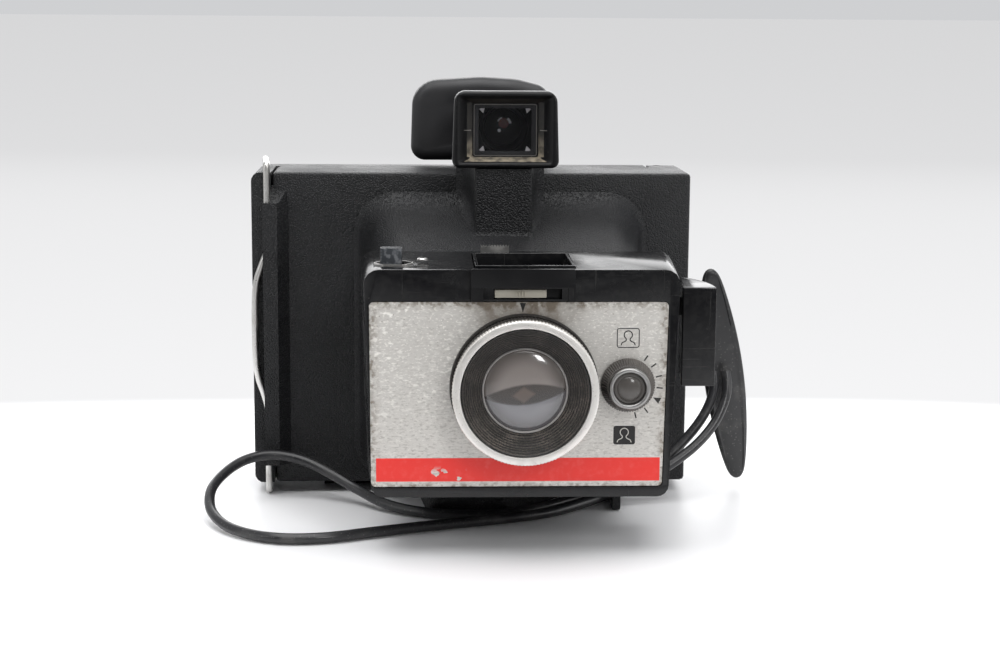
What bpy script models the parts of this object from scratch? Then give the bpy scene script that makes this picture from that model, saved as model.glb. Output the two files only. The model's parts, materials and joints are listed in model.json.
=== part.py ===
"""Pack-film instant camera, built as separate pieces in metres, +Z up.

The front faces -Y, +X is to the right of a person looking at the front, and the
origin is the bottom centre of the camera without its strap.
"""
import math

import bmesh
import bpy
from mathutils import Matrix, Vector

# Driving dimensions, metres
GAP = 0.0004
WALL = 0.0022
BODY_RIGHT = 0.090
BODY_LEFT = -0.0815
DOOR_LEFT = -0.090
BODY_BOTTOM = 0.0045
BODY_TOP = 0.134
BODY_FRONT = 0.0335
BODY_BACK = 0.0775
DOOR_SEAM = 0.0664
CHEEK_X = 0.0845
HINGE_X, HINGE_Y = 0.0808, 0.0743
BARREL_RADIUS = 0.0030
WIRE_RADIUS = 0.0014
WIRE_Y = 0.0313
BAIL_PIVOT_X, BAIL_PIVOT_Y = -0.0860, 0.0620
HOUSING_FRONT = -0.0645
HOUSING_BACK = -0.0180
CONE_FRONT = -0.0177
CONE_BACK = 0.0331
CONE_ENDS = ((-0.033, 0.062, 0.024, 0.105, 0.010), (-0.045, 0.0685, 0.008, 0.123, 0.014))
HOUSING_NEAR = ((-0.0392, 0.0230), (0.0699, 0.0230), (0.0730, 0.1073), (-0.0420, 0.1073))
HOUSING_FAR = ((-0.0420, 0.0215), (0.0730, 0.0215), (0.0762, 0.1082), (-0.0448, 0.1082))
HOUSING_RADII = (0.0042, 0.0042, 0.0052, 0.0052)
PLATE_CORNERS = ((-0.0395, 0.0270), (0.0675, 0.0270), (0.0688, 0.0955), (-0.0400, 0.0955))
PLATE_RADIUS = 0.0016
INWARD = ((1, 1), (-1, 1), (-1, -1), (1, -1))
PLATE_FRONT = -0.0641
PLATE_BACK = -0.0634
LENS_X, LENS_Z = 0.0163, 0.0642
EYE_X, EYE_Z = 0.0542, 0.0650
RING_RADIUS = 0.0265
GLASS_RADIUS = 0.0153
WELL_LEFT, WELL_RIGHT = -0.0004, 0.0336
WELL_FRONT, WELL_BACK = -0.0600, -0.0250
WELL_FLOOR, WELL_TOP = 0.0872, 0.1085
FINDER_X, FINDER_Z = 0.0122, 0.1530
SHIELD_FRONT = 0.0644
SHIELD_ROUND = 0.0040
SHIELD_CORNERS = [(-0.0252, 0.1366, 0.0060), (0.0330, 0.1366, 0.0030), (0.0342, 0.1672, 0.0060),
                  (0.0200, 0.1708, 0.0300), (0.0040, 0.1717, 0.0500), (-0.0242, 0.1697, 0.0110)]
STRAP_RADIUS = 0.0021
BLADE_PIVOT = (-0.0160, 0.0560)
CELL_RADIUS = 0.0071
CELL_LENGTH = 0.0500
ROLLER_X = -0.0700
ROLLER_RADIUS = 0.0040

TOWARDS_FRONT = Matrix.Rotation(math.radians(90.0), 4, "X")
ALONG_X = Matrix.Rotation(math.radians(90.0), 4, "Y")
UPRIGHT = Matrix.Identity(4)

STRAP_ROUTE = [
    (0.1008, 0.0322, 0.0515), (0.1012, 0.0305, 0.0440), (0.0975, 0.0280, 0.0350),
    (0.0905, 0.0250, 0.0260), (0.0800, 0.0215, 0.0165), (0.0690, 0.0185, 0.0092),
    (0.0580, 0.0148, 0.0058), (0.0460, 0.0105, 0.0038), (0.0330, 0.0030, 0.0024),
    (0.0200, -0.0080, 0.0024), (0.0080, -0.0128, 0.0024), (-0.0060, -0.0128, 0.0024),
    (-0.0210, -0.0085, 0.0026), (-0.0350, 0.0010, 0.0034), (-0.0470, 0.0130, 0.0065),
    (-0.0580, 0.0205, 0.0112), (-0.0700, 0.0255, 0.0158), (-0.0820, 0.0250, 0.0182),
    (-0.0920, 0.0200, 0.0176), (-0.0995, 0.0110, 0.0148), (-0.1045, -0.0010, 0.0104),
    (-0.1035, -0.0145, 0.0058), (-0.0970, -0.0280, 0.0032), (-0.0865, -0.0390, 0.0024),
    (-0.0730, -0.0455, 0.0024), (-0.0570, -0.0445, 0.0024), (-0.0400, -0.0375, 0.0024),
    (-0.0200, -0.0295, 0.0024), (0.0000, -0.0225, 0.0024), (0.0170, -0.0160, 0.0024),
    (0.0320, -0.0080, 0.0024), (0.0450, 0.0010, 0.0036), (0.0570, 0.0080, 0.0058),
    (0.0690, 0.0128, 0.0092), (0.0810, 0.0165, 0.0150), (0.0925, 0.0205, 0.0225),
    (0.1008, 0.0245, 0.0310), (0.1055, 0.0280, 0.0400), (0.1066, 0.0300, 0.0460),
    (0.1062, 0.0322, 0.0515),
]
STRAP_POINTS = 78
TOGGLE_FOOT = (0.1140, 0.0420, 0.0035)
TOGGLE_TIP = (0.0995, 0.0380, 0.0940)
TOGGLE_HALF_WIDTH = 0.0085
TOGGLE_HALF_DEPTH = 0.0030

PIECES = None
CUTTERS = None


def start_scene():
    """Empty the scene and make the collections for pieces and for cutters."""
    global PIECES, CUTTERS
    for thing in list(bpy.data.objects):
        bpy.data.objects.remove(thing, do_unlink=True)
    PIECES = bpy.data.collections.new("instant_camera")
    CUTTERS = bpy.data.collections.new("cutters")
    bpy.context.scene.collection.children.link(PIECES)
    bpy.context.scene.collection.children.link(CUTTERS)


def finish(name, colour, roughness, metallic=0.0):
    """Return a Principled material."""
    material = bpy.data.materials.new(name)
    material.use_nodes = True
    shader = material.node_tree.nodes["Principled BSDF"]
    shader.inputs["Base Color"].default_value = (*colour, 1.0)
    shader.inputs["Roughness"].default_value = roughness
    shader.inputs["Metallic"].default_value = metallic
    return material


def make_finishes():
    """Return the finishes by name."""
    return {
        "pebbled": finish("pebbled_black", (0.020, 0.021, 0.023), 0.50),
        "smooth": finish("smooth_black", (0.012, 0.012, 0.013), 0.22),
        "matte": finish("matte_black", (0.018, 0.018, 0.019), 0.60),
        "plate": finish("brushed_plate", (0.62, 0.60, 0.57), 0.42, 0.8),
        "silver": finish("silver_ring", (0.75, 0.74, 0.72), 0.30, 1.0),
        "steel": finish("steel", (0.60, 0.60, 0.60), 0.28, 1.0),
        "glass": finish("lens_glass", (0.30, 0.30, 0.32), 0.05),
        "cream": finish("cream_plastic", (0.72, 0.69, 0.60), 0.45),
        "board": finish("circuit_board", (0.30, 0.17, 0.06), 0.55),
        "copper": finish("copper_wire", (0.72, 0.36, 0.18), 0.35, 1.0),
        "brass": finish("brass_strip", (0.78, 0.60, 0.28), 0.35, 1.0),
        "rubber": finish("strap_rubber", (0.022, 0.022, 0.024), 0.48),
        "foam": finish("foam_seal", (0.010, 0.010, 0.010), 0.95),
    }


def place(name, mesh, material, location=(0.0, 0.0, 0.0), turn=UPRIGHT, hidden=False):
    """Make an object of a mesh, at a place and with a turn."""
    thing = bpy.data.objects.new(name, mesh)
    thing.matrix_world = Matrix.Translation(location) @ turn
    if material is not None:
        mesh.materials.append(material)
    if hidden:
        CUTTERS.objects.link(thing)
        thing.hide_render = True
        thing.display_type = "WIRE"
    else:
        PIECES.objects.link(thing)
    return thing


def box(name, low, high, material=None, bevel=0.0, hidden=False, segments=2):
    """Make a box between two corners, with rounded edges if bevel is not zero."""
    size = [high[i] - low[i] for i in range(3)]
    centre = [(high[i] + low[i]) / 2.0 for i in range(3)]
    mesh = bpy.data.meshes.new(name)
    shape = bmesh.new()
    bmesh.ops.create_cube(shape, size=1.0)
    bmesh.ops.scale(shape, vec=size, verts=shape.verts)
    shape.to_mesh(mesh)
    shape.free()
    thing = place(name, mesh, material, centre, hidden=hidden)
    if bevel > 0.0:
        rounding = thing.modifiers.new("rounding", "BEVEL")
        rounding.width = bevel
        rounding.segments = segments
    return thing


def rod(name, centre, radius, length, turn, material=None, sides=24, hidden=False):
    """Make a cylinder about a centre, along the turned Z axis."""
    mesh = bpy.data.meshes.new(name)
    shape = bmesh.new()
    bmesh.ops.create_cone(shape, cap_ends=True, segments=sides, radius1=radius,
                          radius2=radius, depth=length)
    shape.to_mesh(mesh)
    shape.free()
    mesh.shade_smooth()
    mesh.set_sharp_from_angle(angle=math.radians(35.0))
    return place(name, mesh, material, centre, turn, hidden)


def turned(name, profile, centre, turn, material, sides=32, hidden=False):
    """Turn a closed outline of (radius, height) points about the turned Z axis.

    An outline whose ends lie on the axis is left open there.
    """
    area = 0.0
    count = len(profile)
    for index in range(count):
        radius_a, height_a = profile[index]
        radius_b, height_b = profile[(index + 1) % count]
        area += radius_a * height_b - radius_b * height_a
    points = list(reversed(profile)) if area > 0.0 else list(profile)
    on_axis = [i for i, point in enumerate(points) if point[0] < 1e-7]
    if on_axis:
        while not (points[0][0] < 1e-7 and points[-1][0] < 1e-7):
            points = points[1:] + points[:1]
    mesh = bpy.data.meshes.new(name)
    shape = bmesh.new()
    verts = [shape.verts.new((radius, 0.0, height)) for radius, height in points]
    for first, second in zip(verts, verts[1:]):
        shape.edges.new((first, second))
    if not on_axis:
        shape.edges.new((verts[-1], verts[0]))
    shape.to_mesh(mesh)
    shape.free()
    thing = place(name, mesh, material, centre, turn, hidden)
    screw = thing.modifiers.new("turn", "SCREW")
    screw.steps = sides
    screw.render_steps = sides
    screw.use_merge_vertices = True
    screw.merge_threshold = 0.00002
    return thing


def rounded_outline(corners, segments=4):
    """Return outline points with each (x, y, radius) corner rounded by an arc."""
    points = []
    count = len(corners)
    for index in range(count):
        here = Vector(corners[index][:2])
        radius = corners[index][2]
        before = (Vector(corners[index - 1][:2]) - here).normalized()
        after = (Vector(corners[(index + 1) % count][:2]) - here).normalized()
        if radius <= 0.0:
            points.append(tuple(here))
            continue
        half = before.angle(after) / 2.0
        reach = radius / math.tan(half)
        start, end = here + before * reach, here + after * reach
        centre = here + (before + after).normalized() * (radius / math.sin(half))
        for step in range(segments + 1):
            mixed = (start - centre).lerp(end - centre, step / segments).normalized()
            points.append(tuple(centre + mixed * radius))
    return points


def outline_box(left, right, bottom, top, radius, segments=4):
    """Return a rectangle's outline with equal rounded corners."""
    corners = [(left, bottom, radius), (right, bottom, radius),
               (right, top, radius), (left, top, radius)]
    return rounded_outline(corners, segments)


def shrunk(corners, inset):
    """Return (x, z, radius) corners drawn towards their middle by an inset on each side."""
    middle_x = (max(c[0] for c in corners) + min(c[0] for c in corners)) / 2.0
    middle_z = (max(c[1] for c in corners) + min(c[1] for c in corners)) / 2.0
    half_x = max(c[0] for c in corners) - middle_x
    half_z = max(c[1] for c in corners) - middle_z
    return [(middle_x + (x - middle_x) * (1.0 - inset / half_x),
             middle_z + (z - middle_z) * (1.0 - inset / half_z),
             max(0.0005, radius - inset)) for x, z, radius in corners]


def loft(name, sections, material=None, hidden=False):
    """Skin a solid through outlines of equal point counts, each (outline, y)."""
    mesh = bpy.data.meshes.new(name)
    shape = bmesh.new()
    rings = [[shape.verts.new((x, y, z)) for x, z in outline] for outline, y in sections]
    count = len(rings[0])
    for near, far in zip(rings, rings[1:]):
        for index in range(count):
            after = (index + 1) % count
            shape.faces.new((near[index], near[after], far[after], far[index]))
    shape.faces.new(list(reversed(rings[0])))
    shape.faces.new(rings[-1])
    bmesh.ops.recalc_face_normals(shape, faces=shape.faces)
    shape.to_mesh(mesh)
    shape.free()
    return place(name, mesh, material, hidden=hidden)


def slab(name, outline, front, back, material=None, hidden=False):
    """Extrude an X-Z outline from one Y to another."""
    return loft(name, [(outline, front), (outline, back)], material, hidden)


def bar(name, outline, start, end, axis, material=None, hidden=False):
    """Extrude an outline along X (outline in Y-Z) or along Z (outline in X-Y)."""
    thing = loft(name, [(outline, start), (outline, end)], material, hidden)
    for vertex in thing.data.vertices:
        first, along, second = vertex.co
        vertex.co = (along, first, second) if axis == "X" else (first, second, along)
    shape = bmesh.new()
    shape.from_mesh(thing.data)
    bmesh.ops.recalc_face_normals(shape, faces=shape.faces)
    shape.to_mesh(thing.data)
    shape.free()
    return thing


def tube(name, points, radius, material, resolution=2):
    """Make a wire or cord of round section along points."""
    curve = bpy.data.curves.new(name, "CURVE")
    curve.dimensions = "3D"
    curve.bevel_depth = radius
    curve.bevel_resolution = resolution
    curve.use_fill_caps = True
    spline = curve.splines.new("POLY")
    spline.points.add(len(points) - 1)
    for target, point in zip(spline.points, points):
        target.co = (*point, 1.0)
    curve.materials.append(material)
    thing = bpy.data.objects.new(name, curve)
    PIECES.objects.link(thing)
    return thing


def smooth_route(route, count):
    """Read evenly spaced points from a Catmull-Rom curve through a route."""
    knots = [Vector(point) for point in route]
    knots = [2 * knots[0] - knots[1]] + knots + [2 * knots[-1] - knots[-2]]
    fine = []
    for a, b, c, d in zip(knots, knots[1:], knots[2:], knots[3:]):
        for step in range(20):
            t = step / 20.0
            fine.append(0.5 * (2 * b + (c - a) * t + (2 * a - 5 * b + 4 * c - d) * t * t
                               + (3 * b - a - 3 * c + d) * t ** 3))
    fine.append(knots[-2])
    lengths = [0.0]
    for first, second in zip(fine, fine[1:]):
        lengths.append(lengths[-1] + (second - first).length)
    points = []
    place_at = 0
    for index in range(count):
        wanted = lengths[-1] * index / (count - 1)
        while place_at < len(fine) - 2 and lengths[place_at + 1] < wanted:
            place_at += 1
        span = lengths[place_at + 1] - lengths[place_at]
        share = (wanted - lengths[place_at]) / span
        points.append(fine[place_at].lerp(fine[place_at + 1], min(1.0, share)))
    return points


def cut(target, cutter):
    """Take one hidden solid away from a piece."""
    change = target.modifiers.new("cut_" + cutter.name, "BOOLEAN")
    change.operation = "DIFFERENCE"
    change.solver = "EXACT"
    change.object = cutter


def weld(target, addition):
    """Join one hidden solid to a piece."""
    change = target.modifiers.new("join_" + addition.name, "BOOLEAN")
    change.operation = "UNION"
    change.solver = "EXACT"
    change.object = addition


def cut_box(target, label, low, high):
    """Cut a plain box from a piece."""
    cut(target, box(target.name + "." + label, low, high, hidden=True))


def weld_box(target, label, low, high):
    """Join a plain box to a piece."""
    weld(target, box(target.name + "." + label, low, high, hidden=True))


def make_body_shell(looks):
    """Film housing: open at the back, with its catch ridge and rear feet."""
    shell = box("body_shell", (BODY_LEFT, BODY_FRONT, BODY_BOTTOM),
                (BODY_RIGHT, BODY_BACK, BODY_TOP), looks["pebbled"], 0.0016)
    ridge_plan = [(-0.0853, 0.0285), (-0.0793, 0.0285), (-0.0745, 0.0340),
                  (-0.0812, 0.0340), (-0.0812, 0.0297), (-0.0853, 0.0297)]
    ridge = bar("ridge", ridge_plan, 0.0128, 0.1219, "Z", hidden=True)
    weld(shell, ridge)
    for side, left in (("a", -0.062), ("b", 0.042)):
        weld_box(shell, "foot_" + side, (left, 0.049, 0.0), (left + 0.020, 0.061, 0.0052))
    cut_box(shell, "chamber", (-0.0790, 0.0360, 0.0070), (CHEEK_X, 0.090, 0.1315))
    cut_box(shell, "door_bay", (-0.095, 0.0660, -0.001), (0.0767, 0.090, 0.140))
    cut_box(shell, "window", (-0.038, 0.030, 0.018), (0.061, 0.040, 0.114))
    cut_box(shell, "tab_way", (-0.090, 0.0440, 0.026), (-0.0770, 0.070, 0.108))
    cut(shell, rod("pin_way", (HINGE_X, HINGE_Y, 0.070), 0.0014, 0.150, UPRIGHT, hidden=True))
    return shell


def make_back_door(looks):
    """Rear door with the wrap-round left end that the bail hinges on."""
    outline = rounded_outline([
        (DOOR_LEFT, BODY_BOTTOM, 0.0035), (0.0752, BODY_BOTTOM, 0.0),
        (0.0752, BODY_TOP, 0.0), (DOOR_LEFT, BODY_TOP, 0.0035)])
    door = slab("back_door", outline, BODY_FRONT, BODY_BACK, looks["pebbled"])
    cut_box(door, "body_room", (-0.0820, 0.020, -0.001), (0.090, DOOR_SEAM, 0.140))
    cut_box(door, "tray", (-0.0820, 0.060, 0.0070), (0.0730, 0.0752, 0.1315))
    cut_box(door, "end_pocket", (-0.0876, 0.0362, 0.0150), (-0.0780, 0.0752, 0.1235))
    cut_box(door, "tab_slot", (-0.095, 0.0502, 0.028), (-0.084, 0.0566, 0.106))
    weld_box(door, "web", (0.0740, 0.0750, 0.0075), (HINGE_X, 0.0771, 0.1310))
    weld(door, rod("barrel", (HINGE_X, HINGE_Y, 0.06925), BARREL_RADIUS, 0.1235, UPRIGHT,
                   sides=20, hidden=True))
    cut(door, rod("barrel_bore", (HINGE_X, HINGE_Y, 0.070), 0.0014, 0.160, UPRIGHT, hidden=True))
    for label, low, high in (("top", 0.1245, 0.140), ("bottom", -0.002, 0.0120)):
        middle = (BAIL_PIVOT_X, BAIL_PIVOT_Y, (low + high) / 2.0)
        cut(door, rod("pivot_" + label, middle, WIRE_RADIUS + GAP, high - low, UPRIGHT, hidden=True))
    rod("hinge_pin", (HINGE_X, HINGE_Y, 0.06925), 0.0010, 0.1275, UPRIGHT, looks["steel"], 16)
    return door


def make_bail(looks):
    """Bent steel wire that holds the door shut behind the catch ridge."""
    top, bottom = BODY_TOP + 0.0034, 0.0017
    half = [(BAIL_PIVOT_X, BAIL_PIVOT_Y, 0.1262), (BAIL_PIVOT_X, BAIL_PIVOT_Y, top - 0.0016),
            (BAIL_PIVOT_X, BAIL_PIVOT_Y - 0.0016, top), (-0.0836, WIRE_Y + 0.0018, top),
            (-0.0835, WIRE_Y, top - 0.0018), (-0.0836, WIRE_Y, 0.1020),
            (-0.0852, WIRE_Y, 0.0975), (-0.0876, WIRE_Y, 0.0935), (-0.0886, WIRE_Y, 0.0890),
            (-0.0889, WIRE_Y, 0.0700)]
    other = [(-0.0886, WIRE_Y, 0.0490), (-0.0876, WIRE_Y, 0.0445), (-0.0854, WIRE_Y, 0.0405),
             (-0.0841, WIRE_Y, 0.0355), (-0.0841, WIRE_Y, bottom + 0.0018),
             (-0.0841, WIRE_Y + 0.0018, bottom), (BAIL_PIVOT_X, BAIL_PIVOT_Y - 0.0016, bottom),
             (BAIL_PIVOT_X, BAIL_PIVOT_Y, bottom + 0.0016), (BAIL_PIVOT_X, BAIL_PIVOT_Y, 0.0105)]
    tube("latch_bail", half + other, WIRE_RADIUS, looks["steel"])


def cone_section(left, right, bottom, top, radius, inset=0.0):
    """Return one rounded outline of the lens cone, drawn in by inset."""
    return outline_box(left + inset, right - inset, bottom + inset, top - inset,
                       radius - inset, 5)


def make_lens_cone(looks):
    """Light-tight cone with its belly foot, strap loop and finder column."""
    cone = loft("lens_cone", [(cone_section(*CONE_ENDS[0]), CONE_FRONT),
                              (cone_section(*CONE_ENDS[1]), CONE_BACK)], looks["pebbled"])
    belly = [(-0.0150, 0.0120, 0.0060, 0.0212, -0.0076), (-0.0170, 0.0140, 0.0016, 0.0206, -0.0056),
             (-0.0185, 0.0155, 0.0000, 0.0200, -0.0034), (-0.0220, 0.0400, 0.0000, 0.0106, 0.0280)]
    weld(cone, loft("belly", [(outline_box(left, right, low, high, 0.0003, 1), depth)
                              for left, right, low, high, depth in belly], hidden=True))
    weld_box(cone, "strap_loop", (0.0565, 0.0000, 0.0004), (0.0595, 0.0222, 0.0200))
    column = loft("column", [(outline_box(0.0003, 0.0227, 0.1110, 0.1382, 0.0004, 1), 0.0020),
                             (outline_box(-0.0065, 0.0295, 0.1215, 0.1382, 0.0004, 1), CONE_BACK)],
                  hidden=True)
    weld(cone, column)
    cut(cone, loft("light_way", [(cone_section(*CONE_ENDS[0], WALL), CONE_FRONT - 0.0001),
                                 (cone_section(*CONE_ENDS[1], WALL), CONE_BACK + 0.0001)],
                   hidden=True))
    cut_box(cone, "belly_room", (-0.0145, -0.0032, 0.0024), (0.0130, 0.0250, 0.0240))
    cut_box(cone, "loop_room", (0.0550, 0.0022, 0.0026), (0.0610, 0.0198, 0.0112))
    return cone


def housing_section(front, inset=0.0):
    """Return the tapered outline of the front housing at its front or back end."""
    corners = HOUSING_NEAR if front else HOUSING_FAR
    return rounded_outline([(x + sx * inset, z + sz * inset, radius - inset)
                            for (x, z), radius, (sx, sz) in zip(corners, HOUSING_RADII, INWARD)])


def make_front_housing(looks):
    """Shutter housing: a tapered shell with its front openings."""
    housing = loft("front_housing", [(housing_section(True), HOUSING_FRONT),
                                     (housing_section(False), HOUSING_BACK)], looks["smooth"])
    cut(housing, loft("housing_room", [(housing_section(True, WALL), -0.0618),
                                       (housing_section(False, WALL), HOUSING_BACK + 0.001)],
                      hidden=True))
    cut(housing, slab("plate_bed", plate_outline(-0.0003), -0.070, -0.0631, hidden=True))
    cut(housing, rod("lens_way", (LENS_X, -0.062, LENS_Z), 0.0215, 0.012, TOWARDS_FRONT,
                     sides=40, hidden=True))
    cut(housing, rod("eye_way", (EYE_X, -0.062, EYE_Z), 0.0062, 0.012, TOWARDS_FRONT,
                     hidden=True))
    cut_box(housing, "well_way", (WELL_LEFT - 0.0016, WELL_FRONT - 0.0016, 0.104),
            (WELL_RIGHT + 0.0016, WELL_BACK + 0.0016, 0.115))
    cut_box(housing, "slider_way", (0.0050, -0.068, 0.0966), (0.0298, -0.060, 0.1004))
    slot = rounded_outline([(-0.0385, -0.0500, 0.0), (-0.0350, -0.0540, 0.002),
                            (-0.0275, -0.0540, 0.002), (-0.0240, -0.0500, 0.0),
                            (-0.0275, -0.0450, 0.002), (-0.0350, -0.0450, 0.002)], 2)
    cut(housing, bar("release_way", slot, 0.100, 0.115, "Z", hidden=True))
    cut_box(housing, "eject_way", (0.0012, -0.0222, 0.100), (0.0132, -0.0188, 0.115))
    cut_box(housing, "cocking_way", (0.068, -0.0482, 0.0680), (0.080, -0.0418, 0.0965))
    cut_box(housing, "battery_way", (0.0395, -0.0400, 0.015), (0.0690, -0.0214, 0.028))
    return housing


def plate_outline(inset):
    """Return the face plate's tapered outline, drawn in by inset."""
    return rounded_outline([(x + sx * inset, z + sz * inset, PLATE_RADIUS - inset)
                            for (x, z), (sx, sz) in zip(PLATE_CORNERS, INWARD)])


def make_face_plate(looks):
    """Thin metal plate on the housing's front."""
    plate = slab("face_plate", plate_outline(0.0), PLATE_FRONT, PLATE_BACK, looks["plate"])
    cut(plate, rod("plate_lens_way", (LENS_X, -0.064, LENS_Z), 0.0220, 0.010, TOWARDS_FRONT,
                   sides=40, hidden=True))
    cut(plate, rod("plate_eye_way", (EYE_X, -0.064, EYE_Z), 0.0065, 0.010, TOWARDS_FRONT,
                   hidden=True))


def make_lens(looks):
    """Focusing ring, trim ring, glasses, fixed tube and sliding carriage."""
    centre = (LENS_X, 0.0, LENS_Z)
    turned("lens_base_ring", [(0.0212, 0.0645), (0.0272, 0.0645), (0.0270, 0.0662),
                              (0.0212, 0.0662)], centre, TOWARDS_FRONT, looks["smooth"], 40)
    turned("lens_tube", [(0.0176, 0.0430), (0.0205, 0.0430), (0.0205, 0.0658),
                         (0.0176, 0.0658)], centre, TOWARDS_FRONT, looks["matte"], 32)
    ring = [(0.0172, 0.0550), (0.0172, 0.0668), (0.0262, 0.0668), (0.0262, 0.0740),
            (0.0231, 0.0740), (0.0231, 0.0768), (0.0222, 0.0766), (0.0157, 0.0712),
            (0.0157, 0.0700), (0.0160, 0.0550)]
    turned("focus_ring", ring, centre, TOWARDS_FRONT, looks["smooth"], 48)
    turned("focus_trim_ring", [(0.0235, 0.0743), (RING_RADIUS, 0.0743), (RING_RADIUS, 0.0770),
                               (0.0262, 0.0775), (0.0235, 0.0775)], centre, TOWARDS_FRONT,
           looks["silver"], 48)
    dome = [(0.0, 0.0672), (GLASS_RADIUS, 0.0672), (GLASS_RADIUS, 0.0702)]
    dome += [(GLASS_RADIUS * math.cos(angle), 0.0702 + 0.0036 * math.sin(angle))
             for angle in [math.radians(15.0 * step) for step in range(1, 6)]]
    turned("front_lens", dome + [(0.0, 0.0738)], centre, TOWARDS_FRONT, looks["glass"], 40)
    turned("lens_carriage", [(0.0122, 0.0450), (0.0156, 0.0450), (0.0156, 0.0640),
                             (0.0122, 0.0640)], centre, TOWARDS_FRONT, looks["matte"], 32)
    turned("rear_lens", [(0.0, 0.0480), (0.0100, 0.0480), (0.0118, 0.0500), (0.0118, 0.0515),
                         (0.0090, 0.0530), (0.0, 0.0536)], centre, TOWARDS_FRONT,
           looks["glass"], 32)


def make_electric_eye(looks):
    """Lighten and darken knob round the electric eye, and the photocell behind it."""
    centre = (EYE_X, 0.0, EYE_Z)
    knob = [(0.0046, 0.0606), (0.0059, 0.0606), (0.0059, 0.0644), (0.0099, 0.0644),
            (0.0098, 0.0660), (0.0079, 0.0704), (0.0046, 0.0704)]
    turned("exposure_knob", knob, centre, TOWARDS_FRONT, looks["smooth"], 40)
    turned("exposure_knob_ring", [(0.0060, 0.0707), (0.0076, 0.0707), (0.0076, 0.0722),
                                  (0.0072, 0.0727), (0.0060, 0.0727)], centre, TOWARDS_FRONT,
           looks["steel"], 40)
    turned("electric_eye_lens", [(0.0, 0.0707), (0.0057, 0.0707), (0.0057, 0.0714),
                                 (0.0040, 0.0722), (0.0, 0.0726)], centre, TOWARDS_FRONT,
           looks["glass"], 32)
    rod("photocell", (EYE_X, -0.0570, EYE_Z), 0.0050, 0.0055, TOWARDS_FRONT, looks["copper"], 20)


def make_flash_well(looks):
    """Flash-cube well with its socket, contacts, bezel and ejector."""
    well = box("flash_well", (WELL_LEFT - 0.0012, WELL_FRONT - 0.0012, WELL_FLOOR - 0.0012),
               (WELL_RIGHT + 0.0012, WELL_BACK + 0.0012, WELL_TOP), looks["smooth"])
    cut_box(well, "room", (WELL_LEFT, WELL_FRONT, WELL_FLOOR), (WELL_RIGHT, WELL_BACK, 0.120))
    middle = ((WELL_LEFT + WELL_RIGHT) / 2.0, (WELL_FRONT + WELL_BACK) / 2.0)
    turned("flash_socket", [(0.0036, 0.0), (0.0085, 0.0), (0.0085, 0.0040), (0.0075, 0.0050),
                            (0.0036, 0.0050)], (*middle, WELL_FLOOR + GAP), UPRIGHT,
           looks["matte"], 24)
    for side, shift in (("left", -0.0115), ("right", 0.0105)):
        box("flash_contact_" + side, (middle[0] + shift, middle[1] - 0.006, WELL_FLOOR + GAP),
            (middle[0] + shift + 0.001, middle[1] + 0.006, WELL_FLOOR + 0.0045), looks["brass"])
    bezel = slab("flash_bezel", rounded_outline([
        (-0.0032, 0.1010, 0.0002), (0.0345, 0.1010, 0.0002), (0.0345, 0.1078, 0.0006),
        (-0.0032, 0.1078, 0.0006)], 2), -0.0668, HOUSING_FRONT - 0.0003, looks["smooth"])
    weld_box(bezel, "left_post", (-0.0032, -0.0660, 0.0958), (0.0012, -0.0648, 0.1030))
    weld_box(bezel, "right_post", (0.0322, -0.0660, 0.0958), (0.0345, -0.0648, 0.1030))
    eject = box("flash_ejector", (0.0018, -0.0216, 0.0980), (0.0126, -0.0206, 0.1112),
                looks["steel"])
    weld_box(eject, "foot", (0.0040, -0.0216, 0.0940), (0.0100, -0.0206, 0.0990))


def make_film_speed_slider(looks):
    """Small cream slider under the flash bezel."""
    slider = box("film_speed_slider", (0.0054, -0.0640, 0.0970), (0.0242, -0.0616, 0.1000),
                 looks["cream"])
    weld_box(slider, "grip", (0.0130, -0.0647, 0.0978), (0.0166, -0.0636, 0.0992))


def make_release(looks):
    """Shutter release tab with its stem, and the small metal eyelet beside it."""
    tab = box("shutter_release", (-0.0361, -0.0510, 0.0960), (-0.0281, -0.0484, 0.1138),
              looks["smooth"], 0.0005, segments=1)
    weld_box(tab, "cap", (-0.0361, -0.0526, 0.1056), (-0.0281, -0.0480, 0.1136))
    turned("release_eyelet", [(0.0010, 0.1086), (0.0021, 0.1086), (0.0021, 0.1092),
                              (0.0017, 0.1095), (0.0010, 0.1095)], (-0.0206, -0.0480, 0.0),
           UPRIGHT, looks["steel"], 20)


def make_cocking_lever(looks):
    """Side lever whose plan is a quarter oval, on a stem into the housing."""
    across, deep = 0.0118, 0.0285
    left, front = 0.0750, -0.0605
    plan = [(left, front)]
    plan += [(left + across * math.cos(math.radians(angle)),
              front + deep * math.sin(math.radians(angle))) for angle in range(0, 76, 15)]
    plan += [(left + across * 0.18, front + deep), (left, front + deep)]
    lever = bar("cocking_lever", plan, 0.0636, 0.1003, "Z", looks["smooth"])
    cutter_plan = [(left - 0.001, -0.070), (left - 0.0010, -0.020), (left + 0.0028, -0.020),
                   (left - 0.0000, -0.070)]
    cut(lever, bar("lever_side", cutter_plan, 0.060, 0.105, "Z", hidden=True))
    weld_box(lever, "stem", (0.0690, -0.0470, 0.0880), (0.0795, -0.0430, 0.0950))


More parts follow.
